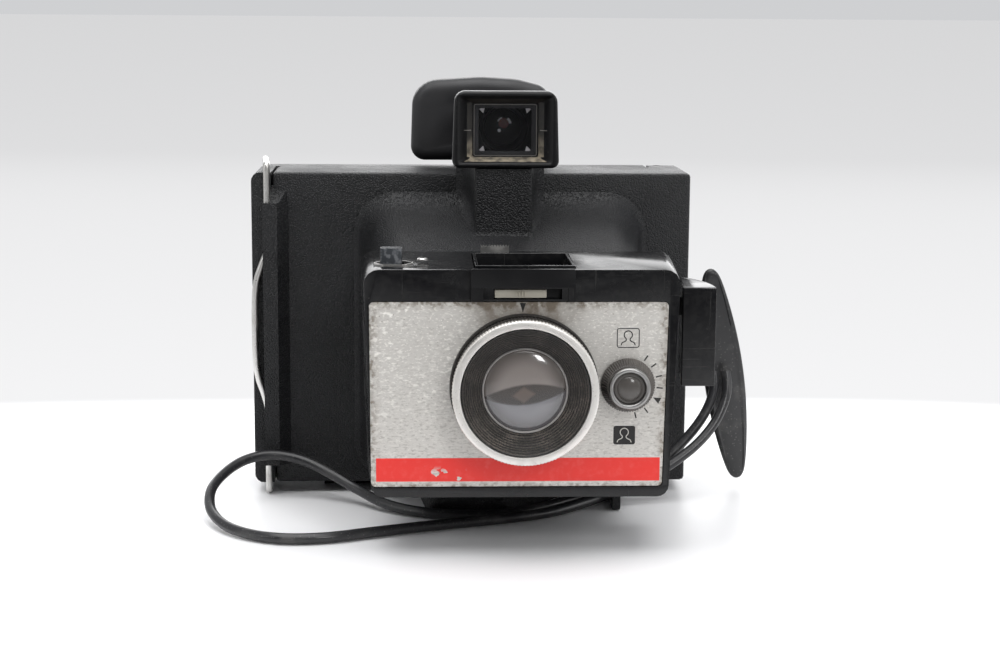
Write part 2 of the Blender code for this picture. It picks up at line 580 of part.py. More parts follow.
def make_shutter(looks):
    """Shutter plates, two coupled blades on one pivot, magnet and electronics."""
    front = box("shutter_base_plate", (-0.0300, -0.0427, 0.0400), (0.0380, -0.0415, 0.0820),
                looks["matte"])
    back = box("shutter_cover", (-0.0300, -0.0380, 0.0400), (0.0380, -0.0368, 0.0820),
               looks["matte"])
    for plate in (front, back):
        hole = rod(plate.name + ".aperture", (LENS_X, -0.040, LENS_Z), 0.0065, 0.010,
                   TOWARDS_FRONT, hidden=True)
        cut(plate, hole)
    pivot_x, pivot_z = BLADE_PIVOT
    rod("blade_pivot", (pivot_x, -0.03975, pivot_z), 0.0011, 0.0030, TOWARDS_FRONT,
        looks["steel"], 16)
    for name, depth in (("shutter_blade_front", 0.0409), ("shutter_blade_rear", 0.0394)):
        blade = rod(name, (LENS_X, -depth, LENS_Z), 0.0078, 0.0004, TOWARDS_FRONT,
                    looks["steel"], 24)
        arm = [(pivot_x - 0.0025, pivot_z - 0.0025), (pivot_x + 0.002, pivot_z - 0.0030),
               (LENS_X - 0.003, LENS_Z - 0.0050), (LENS_X - 0.003, LENS_Z + 0.0050),
               (pivot_x - 0.001, pivot_z + 0.0030)]
        weld(blade, slab(name + ".arm", arm, -depth - 0.0002, -depth + 0.0002, hidden=True))
        cut(blade, rod(name + ".bore", (pivot_x, -depth, pivot_z), 0.0014, 0.004,
                       TOWARDS_FRONT, hidden=True))
    turned("magnet_coil", [(0.0020, -0.0060), (0.0055, -0.0060), (0.0055, -0.0048),
                           (0.0042, -0.0048), (0.0042, 0.0048), (0.0055, 0.0048),
                           (0.0055, 0.0060), (0.0020, 0.0060)], (-0.0260, -0.0520, 0.0500),
           ALONG_X, looks["copper"], 20)
    rod("magnet_core", (-0.0260, -0.0520, 0.0500), 0.0016, 0.0160, ALONG_X, looks["steel"], 16)
    box("circuit_board", (-0.0360, -0.0500, 0.0600), (-0.0100, -0.0488, 0.0850), looks["board"])
    rod("timing_capacitor", (-0.0280, -0.0548, 0.0720), 0.0040, 0.0120, UPRIGHT,
        looks["copper"], 20)


def make_power(looks):
    """Cells, their contacts, the battery door and the housing's back plate."""
    for index, centre_x in enumerate((0.0470, 0.0618)):
        cell = rod("cell_" + "ab"[index], (centre_x, -0.0312, 0.0580), CELL_RADIUS,
                   CELL_LENGTH, UPRIGHT, looks["copper"], 24)
        weld(cell, rod("cell_tip_" + "ab"[index], (centre_x, -0.0312, 0.0834), 0.0026, 0.0016,
                       UPRIGHT, sides=16, hidden=True))
    box("battery_contact_top", (0.0420, -0.0360, 0.0846), (0.0670, -0.0264, 0.0854),
        looks["brass"])
    box("battery_contact_bottom", (0.0420, -0.0360, 0.0314), (0.0670, -0.0264, 0.0322),
        looks["brass"])
    door = box("battery_door", (0.0399, -0.0396, 0.0222), (0.0686, -0.0230, 0.0240),
               looks["smooth"])
    weld(door, rod("battery_door.hinge", (0.05425, -0.0242, 0.0238), 0.0012, 0.0286, ALONG_X,
                   sides=12, hidden=True))
    back = slab("housing_back", [(x, z) for x, z in housing_section(False, WALL + GAP)],
                -0.0208, -0.0190, looks["matte"])
    cut_box(back, "light_way", (-0.0040, -0.030, 0.0440), (0.0366, -0.010, 0.0840))
    cut_box(back, "ejector_room", (-0.001, -0.0230, 0.0890), (0.0150, -0.0186, 0.110))


def make_finder(looks):
    """Viewfinder: base and tunnel, front frame, mask, lenses and eyecup shield."""
    tunnel = loft("finder_tunnel", [
        (outline_box(-0.0055, 0.0299, 0.1397, 0.1660, 0.002, 2), 0.0103),
        (outline_box(0.0000, 0.0244, 0.1430, 0.1632, 0.002, 2), 0.0640)], looks["pebbled"])
    weld_box(tunnel, "base", (-0.0040, 0.0338, 0.1344), (0.0280, 0.0636, 0.1450))
    cut(tunnel, loft("sight_way", [
        (outline_box(-0.0037, 0.0281, 0.1415, 0.1642, 0.001, 2), 0.0100),
        (outline_box(0.0018, 0.0226, 0.1448, 0.1614, 0.001, 2), 0.0650)], hidden=True))
    frame = slab("finder_front_frame", rounded_outline([
        (-0.0088, 0.1386, 0.0028), (0.0332, 0.1386, 0.0028), (0.0322, 0.1685, 0.0042),
        (-0.0078, 0.1685, 0.0042)]), 0.0005, 0.0100, looks["smooth"])
    inner = outline_box(FINDER_X - 0.0132, FINDER_X + 0.0132, 0.1424, 0.1640, 0.001, 2)
    outer = outline_box(FINDER_X - 0.0186, FINDER_X + 0.0184, 0.1404, 0.1666, 0.001, 2)
    cut(frame, loft("frame_bevel", [(outer, 0.0004), (inner, 0.0062), (inner, 0.0101)],
                    hidden=True))
    slab("finder_front_lens", outline_box(FINDER_X - 0.0129, FINDER_X + 0.0129, 0.1427, 0.1637,
                                          0.001, 2), 0.0064, 0.0080, looks["glass"])
    mask = slab("finder_mask", outline_box(FINDER_X - 0.0129, FINDER_X + 0.0129, 0.1427, 0.1637,
                                           0.001, 2), 0.0084, 0.0092, looks["matte"])
    cut(mask, slab("mask_way", outline_box(FINDER_X - 0.0105, FINDER_X + 0.0105, 0.1448, 0.1616,
                                           0.001, 2), 0.007, 0.011, hidden=True))
    holder = slab("eyepiece_holder", outline_box(0.0025, 0.0220, 0.1455, 0.1606, 0.001, 2),
                  0.0566, 0.0580, looks["matte"])
    cut(holder, rod("eyepiece_way", (FINDER_X, 0.0573, FINDER_Z), 0.0062, 0.006, TOWARDS_FRONT,
                    hidden=True))
    turned("finder_eyepiece", [(0.0, -0.0590), (0.0030, -0.0588), (0.0058, -0.0580),
                               (0.0058, -0.0568), (0.0030, -0.0560), (0.0, -0.0558)],
           (FINDER_X, 0.0, FINDER_Z), TOWARDS_FRONT, looks["glass"], 24)
    shield = loft("eyecup_shield", [
        (rounded_outline(shrunk(SHIELD_CORNERS, SHIELD_ROUND), 5), SHIELD_FRONT),
        (rounded_outline(shrunk(SHIELD_CORNERS, SHIELD_ROUND * 0.3), 5),
         SHIELD_FRONT + SHIELD_ROUND * 0.3),
        (rounded_outline(SHIELD_CORNERS, 5), SHIELD_FRONT + SHIELD_ROUND),
        (rounded_outline(SHIELD_CORNERS, 5), BODY_BACK)], looks["matte"])
    cut(shield, loft("shield_room", [
        (rounded_outline(shrunk(SHIELD_CORNERS, SHIELD_ROUND + 0.0005), 5), SHIELD_FRONT + WALL),
        (rounded_outline(shrunk(SHIELD_CORNERS, WALL), 5), SHIELD_FRONT + SHIELD_ROUND + 0.0010),
        (rounded_outline(shrunk(SHIELD_CORNERS, WALL), 5), BODY_BACK + 0.0015)], hidden=True))
    cut_box(shield, "window", (0.0030, 0.060, 0.1455), (0.0214, 0.070, 0.1606))


def make_film_parts(looks):
    """Film gate, rollers in their bracket, pressure springs, light seal and screws."""
    gate = box("film_gate", (-0.0450, 0.0465, 0.0120), (0.0780, 0.0480, 0.1180), looks["matte"])
    cut_box(gate, "window", (-0.0200, 0.040, 0.0290), (0.0520, 0.055, 0.0990))
    bracket = box("roller_bracket", (-0.0768, 0.0456, 0.0136), (-0.0632, 0.0656, 0.1184),
                  looks["steel"])
    cut_box(bracket, "room", (-0.0780, 0.0470, 0.0160), (-0.0620, 0.0670, 0.1160))
    for label, centre_y in (("front", 0.0516), ("rear", 0.0600)):
        for low in (0.0130, 0.1150):
            cut(bracket, rod("%s_bore_%d" % (label, low * 1000), (ROLLER_X, centre_y, low + 0.002),
                             0.0021, 0.008, UPRIGHT, sides=16, hidden=True))
        profile = [(0.0, 0.0142), (0.0017, 0.0142), (0.0017, 0.0166), (ROLLER_RADIUS, 0.0166),
                   (ROLLER_RADIUS, 0.1154), (0.0017, 0.1154), (0.0017, 0.1178), (0.0, 0.1178)]
        turned("spreader_roller_" + label, profile, (ROLLER_X, centre_y, 0.0), UPRIGHT,
               looks["steel"], 20)
    leaf = [(0.0742, 0.0300), (0.0748, 0.0300), (0.0708, 0.0640), (0.0748, 0.0980),
            (0.0742, 0.0980), (0.0702, 0.0640)]
    spring = bar("pressure_spring", leaf, -0.030, -0.020, "X", looks["steel"])
    weld(spring, bar("second_leaf", leaf, 0.040, 0.050, "X", hidden=True))
    weld_box(spring, "bridge", (-0.0310, 0.0730, 0.0285), (0.0510, 0.0746, 0.0325))
    box("light_seal", (-0.0740, 0.0738, 0.0076), (0.0640, 0.0749, 0.0100), looks["foam"])
    for label, centre_x, centre_z in (("a", -0.0300, 0.0320), ("b", 0.0640, 0.0975)):
        rod("back_screw_" + label, (centre_x, -0.0240, centre_z), 0.0022, 0.0050,
            TOWARDS_FRONT, looks["steel"], 12)


def make_strap(looks):
    """Loop of moulded strap through the cone's loop, and the toggle bar on its ends."""
    tube("strap", smooth_route(STRAP_ROUTE, STRAP_POINTS), STRAP_RADIUS, looks["rubber"])
    foot = Vector(TOGGLE_FOOT)
    tip = Vector(TOGGLE_TIP)
    along = (tip - foot).normalized()
    across = Vector((1.0, 0.0, 0.0))
    across = (across - along * across.dot(along)).normalized()
    deep = along.cross(across)
    mesh = bpy.data.meshes.new("strap_toggle")
    shape = bmesh.new()
    rings = []
    stations, around = 15, 14
    for station in range(stations):
        share = station / (stations - 1)
        swell = max(0.18, math.sin(math.pi * (0.08 + 0.84 * share))) ** 0.75
        middle = foot.lerp(tip, share)
        ring = []
        for index in range(around):
            angle = 2.0 * math.pi * index / around
            offset = across * (TOGGLE_HALF_WIDTH * swell * math.cos(angle))
            offset += deep * (TOGGLE_HALF_DEPTH * (0.6 + 0.4 * swell) * math.sin(angle))
            ring.append(shape.verts.new(middle + offset))
        rings.append(ring)
    for near, far in zip(rings, rings[1:]):
        for index in range(around):
            after = (index + 1) % around
            shape.faces.new((near[index], near[after], far[after], far[index]))
    shape.faces.new(list(reversed(rings[0])))
    shape.faces.new(rings[-1])
    bmesh.ops.recalc_face_normals(shape, faces=shape.faces)
    shape.to_mesh(mesh)
    shape.free()
    mesh.shade_smooth()
    place("strap_toggle", mesh, looks["rubber"])


def build():
    """Make every piece of the camera."""
    start_scene()
    looks = make_finishes()
    make_body_shell(looks)
    make_back_door(looks)
    make_bail(looks)
    make_lens_cone(looks)
    make_front_housing(looks)
    make_face_plate(looks)
    make_lens(looks)
    make_electric_eye(looks)
    make_flash_well(looks)
    make_film_speed_slider(looks)
    make_release(looks)
    make_cocking_lever(looks)
    make_shutter(looks)
    make_power(looks)
    make_finder(looks)
    make_film_parts(looks)
    make_strap(looks)


build()
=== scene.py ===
"""Looks of an instant pack-film camera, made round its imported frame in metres, +Z up.

The lens faces -Y. Each sub-assembly is a class that holds its sizes, builds its
surfaces as numpy grids and dresses them with its finishes.
"""

import json
import logging
import math
from dataclasses import dataclass
from enum import Enum
from typing import Any, Callable, Sequence

import bmesh
import bpy
import numpy as np
from mathutils import Matrix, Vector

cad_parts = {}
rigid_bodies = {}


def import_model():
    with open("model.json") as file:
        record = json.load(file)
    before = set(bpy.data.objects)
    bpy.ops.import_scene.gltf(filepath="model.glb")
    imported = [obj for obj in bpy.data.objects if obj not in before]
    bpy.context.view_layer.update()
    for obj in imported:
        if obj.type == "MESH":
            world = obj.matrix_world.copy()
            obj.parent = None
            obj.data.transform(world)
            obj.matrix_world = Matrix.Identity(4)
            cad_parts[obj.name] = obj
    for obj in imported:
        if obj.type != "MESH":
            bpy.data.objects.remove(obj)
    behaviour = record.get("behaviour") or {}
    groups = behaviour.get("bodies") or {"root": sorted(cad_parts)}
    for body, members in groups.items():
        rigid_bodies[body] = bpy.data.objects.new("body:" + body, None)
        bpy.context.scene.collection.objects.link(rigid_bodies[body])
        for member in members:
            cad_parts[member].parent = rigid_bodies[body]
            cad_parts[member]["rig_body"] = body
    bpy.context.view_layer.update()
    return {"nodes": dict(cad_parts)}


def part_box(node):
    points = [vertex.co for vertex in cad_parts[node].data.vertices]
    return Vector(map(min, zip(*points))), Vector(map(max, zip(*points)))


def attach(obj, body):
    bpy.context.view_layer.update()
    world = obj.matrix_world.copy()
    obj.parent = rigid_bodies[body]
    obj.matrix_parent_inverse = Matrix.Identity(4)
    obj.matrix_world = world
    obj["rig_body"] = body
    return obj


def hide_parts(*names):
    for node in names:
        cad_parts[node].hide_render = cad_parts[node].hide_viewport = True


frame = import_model()

MERGE = 2e-6
LENS_CENTRE = (0.0163, 0.0642)
LOG = logging.getLogger("camera")
Array = np.ndarray
Colour = tuple[float, float, float]


# ---------------------------------------------------------------- shader maths


class Field:
    """A number that varies over a surface: a socket with Python's operators on it."""

    def __init__(self, recipe: "Recipe", socket: bpy.types.NodeSocket) -> None:
        """Keep the recipe that the socket belongs to."""
        self.recipe = recipe
        self.socket = socket

    def _math(self, operation: str, other: Any = None, swapped: bool = False) -> "Field":
        """Add a Math node.

        Args:
            operation: the Math node's operation.
            other: the second term, a number or another field.
            swapped: put the other term first.

        Returns:
            The node's result.
        """
        terms = [self] if other is None else [self, other]
        if swapped:
            terms.reverse()
        made = self.recipe.node("ShaderNodeMath", {"operation": operation},
                                dict(enumerate(terms)))
        return Field(self.recipe, made.outputs[0])

    def __add__(self, other: Any) -> "Field":
        """Sum."""
        return self._math("ADD", other)

    __radd__ = __add__

    def __sub__(self, other: Any) -> "Field":
        """Difference."""
        return self._math("SUBTRACT", other)

    def __rsub__(self, other: Any) -> "Field":
        """Difference from a number."""
        return self._math("SUBTRACT", other, swapped=True)

    def __mul__(self, other: Any) -> "Field":
        """Product."""
        return self._math("MULTIPLY", other)

    __rmul__ = __mul__

    def __pow__(self, other: Any) -> "Field":
        """Power."""
        return self._math("POWER", other)

    def __abs__(self) -> "Field":
        """Size without its sign."""
        return self._math("ABSOLUTE")

    def sine(self) -> "Field":
        """Sine of an angle in radians."""
        return self._math("SINE")

    def least(self, other: Any) -> "Field":
        """The smaller of two."""
        return self._math("MINIMUM", other)

    def rise(self, low: float, high: float) -> "Field":
        """Smooth step from 0 at low to 1 at high."""
        made = self.recipe.node("ShaderNodeMapRange", {"interpolation_type": "SMOOTHSTEP"},
                                {"Value": self, "From Min": low, "From Max": high})
        return Field(self.recipe, made.outputs[0])

    def fall(self, low: float, high: float) -> "Field":
        """Smooth step from 1 at low to 0 at high."""
        return 1.0 - self.rise(low, high)

    def between(self, low: float, high: float, soft: float) -> "Field":
        """1 from low to high, with soft ends."""
        return self.rise(low - soft, low + soft) * self.fall(high - soft, high + soft)


class Recipe:
    """A material in the making, with its Principled shader."""

    def __init__(self, name: str) -> None:
        """Start an empty material.

        Args:
            name: the material's name.
        """
        self.material = bpy.data.materials.new(name)
        self.material.use_nodes = True
        self.tree = self.material.node_tree
        self.shader = self.tree.nodes["Principled BSDF"]
        self.object_place = self.node("ShaderNodeTexCoord").outputs["Object"]

    def node(self, kind: str, settings: dict[str, Any] | None = None,
             sockets: dict[Any, Any] | None = None) -> bpy.types.Node:
        """Add one node.

        Args:
            kind: the node's type name.
            settings: properties, set first; "stops" holds a ramp's (place, colour) pairs.
            sockets: a value, field or socket for each input, by name or number.

        Returns:
            The node.
        """
        made = self.tree.nodes.new(kind)
        for key, value in (settings or {}).items():
            if key == "stops":
                stops = made.color_ramp.elements
                stops[0].position, stops[-1].position = value[0][0], value[-1][0]
                for place, _ in value[1:-1]:
                    stops.new(place)
                for stop, (_, colour) in zip(stops, value):
                    stop.color = (*colour, 1.0)
            else:
                setattr(made, key, value)
        for key, value in (sockets or {}).items():
            self.feed(made.inputs[key], value)
        return made

    def feed(self, target: bpy.types.NodeSocket, value: Any) -> None:
        """Link a field or a socket to an input, or set the input to a plain value."""
        source = value.socket if isinstance(value, Field) else value
        if isinstance(source, bpy.types.NodeSocket):
            self.tree.links.new(source, target)
        elif isinstance(source, tuple) and len(source) == 3 and target.type == "RGBA":
            target.default_value = (*source, 1.0)
        else:
            target.default_value = source

    def stretched(self, scale: Sequence[float], turn: float = 0.0) -> bpy.types.NodeSocket:
        """Object coordinates scaled on each axis, turned about Y by an angle in radians."""
        return self.node("ShaderNodeMapping", None,
                         {"Vector": self.object_place, "Rotation": (0.0, turn, 0.0),
                          "Scale": tuple(scale)}).outputs[0]

    def axis(self, letter: str) -> Field:
        """One of the object coordinates, in metres."""
        made = self.node("ShaderNodeSeparateXYZ", None, {0: self.object_place})
        return Field(self, made.outputs[letter])

    def noise(self, scale: float, detail: float = 2.0, where: Any = None) -> Field:
        """Smooth noise about 0.5, with scale features to the metre."""
        made = self.node("ShaderNodeTexNoise", None,
                         {"Vector": where or self.object_place, "Scale": scale, "Detail": detail})
        return Field(self, made.outputs[0])

    def cells(self, scale: float, randomness: float = 1.0, where: Any = None) -> Field:
        """Distance to the nearest of scattered points, with scale points to the metre."""
        made = self.node("ShaderNodeTexVoronoi", None,
                         {"Vector": where or self.object_place, "Scale": scale,
                          "Randomness": randomness})
        return Field(self, made.outputs[0])

    def specks(self, scale: float, radius: float, share: float) -> Field:
        """Scattered round specks: near a point of cells, and only where slow noise is high."""
        return self.cells(scale).fall(radius * 0.6, radius) * self.noise(scale * 0.31).rise(
            1.0 - share - 0.05, 1.0 - share)

    def mix(self, share: Any, first: Any, second: Any) -> bpy.types.NodeSocket:
        """Blend two colours by a share from 0 to 1."""
        made = self.node("ShaderNodeMix", {"data_type": "RGBA"}, {0: share, 6: first, 7: second})
        return made.outputs[2]

    def bump(self, height: Field, depth: float, strength: float = 1.0) -> None:
        """Raise the surface by height times depth metres, through the shader's Normal."""
        made = self.node("ShaderNodeBump", None,
                         {"Strength": strength, "Distance": depth, "Height": height})
        self.tree.links.new(made.outputs[0], self.shader.inputs["Normal"])

    def put(self, **values: Any) -> bpy.types.Material:
        """Fill shader sockets; an underscore in a name stands for a space.

        Returns:
            The material.
        """
        for key, value in values.items():
            self.feed(self.shader.inputs[key.replace("_", " ")], value)
        return self.material


# ---------------------------------------------------------------- finishes


@dataclass(frozen=True)
class GrainedPlastic:
    """Moulded black plastic with a fine pebbled grain, a little dust, and pebble tips painted paler
    as a highlight.
    """

    name: str = "pebbled_black"
    dark: Colour = (0.0050, 0.0052, 0.0060)
    pale: Colour = (0.0120, 0.0124, 0.0140)
    painted_tip_highlight: Colour = (0.0300, 0.0300, 0.0320)
    dust: Colour = (0.22, 0.21, 0.20)
    grain: float = 2100.0
    depth: float = 0.00034
    roughness: float = 0.38
    wear: float = 0.0

    def make(self) -> bpy.types.Material:
        """Build the material."""
        recipe = Recipe(self.name)
        grain = recipe.noise(self.grain, 2.0)
        patches = recipe.noise(32.0, 3.0).rise(0.35, 0.72)
        colour = recipe.mix(patches * 0.75, self.dark, self.pale)
        specks = recipe.specks(380.0, 0.13, 0.26) * 0.35
        worn = recipe.noise(520.0, 4.0).rise(0.50, 0.62) * self.wear
        colour = recipe.mix((specks + worn).least(0.9), colour, self.dust)
        pebbles = recipe.cells(self.grain * 0.62, 0.9).rise(0.05, 0.65)
        # Painted highlight: the pebble tips are paler, as where the grain catches light.
        colour = recipe.mix(grain.rise(0.50, 0.68) * (1.0 - pebbles) * 0.85, colour, self.painted_tip_highlight)
        recipe.bump(pebbles * 0.7 + grain * 0.6, self.depth)
        return recipe.put(Base_Color=colour, Roughness=patches * 0.14 + self.roughness,
                          Specular_IOR_Level=0.38)


@dataclass(frozen=True)
class PolishedPlastic:
    """Polished black plastic with fine scratches, smears and dust."""

    name: str = "smooth_black"
    dark: Colour = (0.0042, 0.0042, 0.0050)
    dust: Colour = (0.30, 0.29, 0.27)
    gloss: float = 0.16
    scratches: float = 0.10
    wear: float = 0.0
    gloss_level: float = 0.40

    def make(self) -> bpy.types.Material:
        """Build the material."""
        recipe = Recipe(self.name)
        smears = recipe.noise(45.0, 4.0).rise(0.35, 0.75)
        along = recipe.stretched((60.0, 900.0, 1700.0), 0.5)
        scratch = recipe.noise(1.0, 2.0, along).rise(0.66, 0.74)
        athwart = recipe.stretched((1500.0, 900.0, 50.0), 0.3)
        cross = recipe.noise(1.0, 2.0, athwart).rise(0.67, 0.75)
        marks = (scratch + cross).least(1.0)
        specks = recipe.specks(560.0, 0.14, 0.34)
        worn = recipe.noise(420.0, 5.0).rise(0.47, 0.60) * self.wear
        pale_share = (specks * 0.30 + marks * 0.04 + worn).least(0.9)
        colour = recipe.mix(pale_share, self.dark, self.dust)
        rough = smears * 0.16 + marks * self.scratches + worn * 0.3 + self.gloss
        recipe.bump(marks * -0.15 + recipe.noise(180.0, 2.0) * 0.6, 0.00004)
        return recipe.put(Base_Color=colour, Roughness=rough.least(0.85),
                          Specular_IOR_Level=self.gloss_level)


@dataclass(frozen=True)
class MattPlastic:
    """Smooth matt plastic or foam with a fine even tooth."""

    name: str
    tone: Colour
    stain: Colour = (0.10, 0.09, 0.08)
    roughness: float = 0.55
    stained: float = 0.12
    tooth: float = 0.00004

    def make(self) -> bpy.types.Material:
        """Build the material."""
        recipe = Recipe(self.name)
        cloud = recipe.noise(70.0, 4.0).rise(0.45, 0.75)
        colour = recipe.mix(cloud * self.stained, self.tone, self.stain)
        recipe.bump(recipe.noise(1600.0, 2.0), self.tooth)
        return recipe.put(Base_Color=colour, Roughness=cloud * 0.15 + self.roughness)


class Brushing(Enum):
    """Which way fine lines run on a metal."""

    NONE = (420.0, 420.0, 420.0)
    ALONG_X = (30.0, 900.0, 2600.0)
    ALONG_Z = (2600.0, 900.0, 30.0)


@dataclass(frozen=True)
class WornMetal:
    """Bare metal with fine lines, dull patches and specks of tarnish."""

    name: str
    tone: Colour
    tarnish: Colour = (0.16, 0.13, 0.10)
    roughness: float = 0.24
    brushing: Brushing = Brushing.NONE
    tarnished: float = 0.35

    def make(self) -> bpy.types.Material:
        """Build the material."""
        recipe = Recipe(self.name)
        lines = recipe.noise(1.0, 3.0, recipe.stretched(self.brushing.value))
        dull = recipe.noise(140.0, 4.0).rise(0.48, 0.72)
        pits = recipe.specks(900.0, 0.24, 0.46)
        share = (dull * 0.5 + pits).least(1.0) * self.tarnished
        colour = recipe.mix(share, self.tone, self.tarnish)
        recipe.bump(lines, 0.00003, 0.6)
        return recipe.put(Base_Color=colour, Metallic=1.0,
                          Roughness=lines * 0.10 + dull * 0.18 + self.roughness)


@dataclass(frozen=True)
class AgedPlate:
    """Brushed silver face plate with a red stripe, pale corrosion and brown stains."""

    name: str = "brushed_plate"
    silver: Colour = (0.66, 0.640, 0.605)
    crust: Colour = (0.92, 0.90, 0.85)
    grey: Colour = (0.36, 0.340, 0.315)
    brown: Colour = (0.130, 0.092, 0.055)
    red: Colour = (0.80, 0.030, 0.022)
    faded: Colour = (0.86, 0.16, 0.13)
    stripe_left: float = -0.0377
    stripe_right: float = 0.0666
    stripe_low: float = 0.0289
    stripe_high: float = 0.0377
    edge: float = 0.00012
    chip_span: tuple[float, float] = (-0.0215, -0.0055)
    chip_levels: tuple[float, float] = (0.0318, 0.0352)

    def make(self) -> bpy.types.Material:
        """Build the material."""
        recipe = Recipe(self.name)
        across, up = recipe.axis("X"), recipe.axis("Z")
        lines = recipe.noise(1.0, 2.0, recipe.stretched((140.0, 900.0, 1500.0)))
        mottle = recipe.noise(1.0, 5.0, recipe.stretched((330.0, 500.0, 620.0)))
        slow = recipe.noise(26.0, 3.0)
        upper_left = up.rise(0.040, 0.085) * across.fall(-0.010, 0.055) + 0.30
        crusted = mottle.rise(0.53, 0.66) * (slow.rise(0.34, 0.60) * upper_left).least(1.0)
        worn = recipe.noise(1.0, 4.0, recipe.stretched((520.0, 500.0, 900.0), 0.4)).rise(0.57, 0.68)
        fine = recipe.noise(1.0, 3.0, recipe.stretched((560.0, 500.0, 1500.0), 0.15))
        flecks = recipe.noise(1.0, 2.0, recipe.stretched((820.0, 500.0, 1700.0), -0.2))
        colour = recipe.mix(lines * 0.30, self.silver, self.grey)
        colour = recipe.mix(worn * 0.40, colour, self.grey)
        lower = up.fall(0.045, 0.085)
        colour = recipe.mix(fine.rise(0.54, 0.62) * (lower * 0.40 + 0.14), colour, self.grey)
        pale = flecks.rise(0.58, 0.65) * (1.0 - lower * 0.6) * 0.65
        colour = recipe.mix(pale, colour, self.crust)
        colour = recipe.mix((crusted * 0.80).least(1.0), colour, self.crust)
        rim = (across.fall(-0.0395, -0.0355) + across.rise(0.0640, 0.0682)
               + up.fall(0.0270, 0.0292) + up.rise(0.0915, 0.0956)).least(1.0)
        middle = (across - LENS_CENTRE[0]) * (across - LENS_CENTRE[0])
        smoke = (middle + (up - 0.0960) * (up - 0.0960) * 2.6).fall(0.0, 0.00075)
        blotch = recipe.noise(170.0, 5.0).rise(0.38, 0.62)
        spots = recipe.noise(620.0, 3.0).rise(0.48, 0.60)
        stain = (rim * (blotch * 0.35 + spots * 0.55) + smoke * (blotch * 0.55 + 0.40)).least(1.0)
        colour = recipe.mix(stain * 0.85, colour, self.brown)
        dots = recipe.specks(480.0, 0.15, 0.36)
        colour = recipe.mix(dots * 0.55, colour, self.brown)
        stripe = (across.between(self.stripe_left, self.stripe_right, self.edge)
                  * up.between(self.stripe_low, self.stripe_high, self.edge))
        chip_zone = across.between(*self.chip_span, 0.0015) * up.fall(*self.chip_levels)
        chips = recipe.noise(260.0, 4.0).rise(0.585, 0.60) * chip_zone
        paint = stripe * (1.0 - chips)
        faded = recipe.mix(recipe.noise(400.0, 4.0).rise(0.45, 0.75) * 0.20, self.red,
                           self.faded)
        colour = recipe.mix(paint, colour, faded)
        recipe.bump(crusted * 0.7 + lines * 0.3 + fine * 0.8 + paint * 0.4, 0.00006)
        return recipe.put(Base_Color=colour, Metallic=(1.0 - paint) * (1.0 - crusted) * 0.30,
                          Roughness=crusted * 0.2 + paint * -0.08 + 0.44)


@dataclass(frozen=True)
class ClearGlass:
    """Clear optical plastic or glass, with a touch of haze."""

    name: str = "lens_glass"
    tint: Colour = (0.92, 0.93, 0.95)
    index: float = 1.49
    haze: float = 0.02
    mirror: float = 1.8

    def make(self) -> bpy.types.Material:
        """Build the material: clear, with a mirror over it by the Fresnel law and the haze."""
        recipe = Recipe(self.name)
        cloud = recipe.noise(260.0, 4.0).rise(0.55, 0.80)
        edge = Field(recipe, recipe.node("ShaderNodeFresnel", None, {"IOR": self.index}).outputs[0])
        clear = recipe.node("ShaderNodeBsdfTransparent", None, {"Color": self.tint})
        blend = recipe.node("ShaderNodeMixShader", None,
                            {0: (edge * self.mirror + cloud * self.haze).least(0.9),
                             1: clear.outputs[0], 2: recipe.shader.outputs[0]})
        output = recipe.tree.nodes["Material Output"]
        recipe.tree.links.new(blend.outputs[0], output.inputs["Surface"])
        return recipe.put(Base_Color=(0.92, 0.93, 0.95), Metallic=1.0,
                          Roughness=cloud * 0.05 + 0.02)


@dataclass(frozen=True)
class PaintedLensView:
    """What shows in the front glass, painted on under a clear coat: painted reflections in dull
    grey, a painted dark band with a painted glow across the middle, and painted shade at the edge.
    """

    name: str = "lens_baffle"
    # Painted reflections above and below the band, the band's painted shade and the painted glow in
    # it.
    upper: Colour = (0.220, 0.195, 0.182)
    lower: Colour = (0.170, 0.168, 0.182)
    painted_dark_band: Colour = (0.022, 0.016, 0.013)
    painted_glow: Colour = (0.110, 0.078, 0.062)
    level: float = 0.0632

    def make(self) -> bpy.types.Material:
        """Build the material: the painted dark band is where |height| plus a bow of side squared is
        small.
        """
        recipe = Recipe(self.name)
        across, up = recipe.axis("X"), recipe.axis("Z")
        side = across - LENS_CENTRE[0]
        height = (up - self.level) - side * 0.10
        bow = side * side * 16.0
        painted_dark_band = (abs(height) + bow).fall(0.0032, 0.0042)
        colour = recipe.mix(height.rise(-0.0012, 0.0012), self.lower, self.upper)
        # Painted shade: darker towards the edge of the glass.
        rim = (side * side + (up - LENS_CENTRE[1]) * (up - LENS_CENTRE[1])) ** 0.5
        colour = recipe.mix(rim.rise(0.0080, 0.0150) * 0.55, colour, self.painted_dark_band)
        inside = (abs(height) * 1.4 + abs(side + 0.0006)).fall(0.0030, 0.0052)
        dark = recipe.mix(inside * 0.7, self.painted_dark_band, self.painted_glow)
        colour = recipe.mix(painted_dark_band * 0.92, colour, dark)
        return recipe.put(Base_Color=colour, Roughness=0.22, Coat_Weight=1.0, Coat_Roughness=0.02,
                          Coat_IOR=1.6)


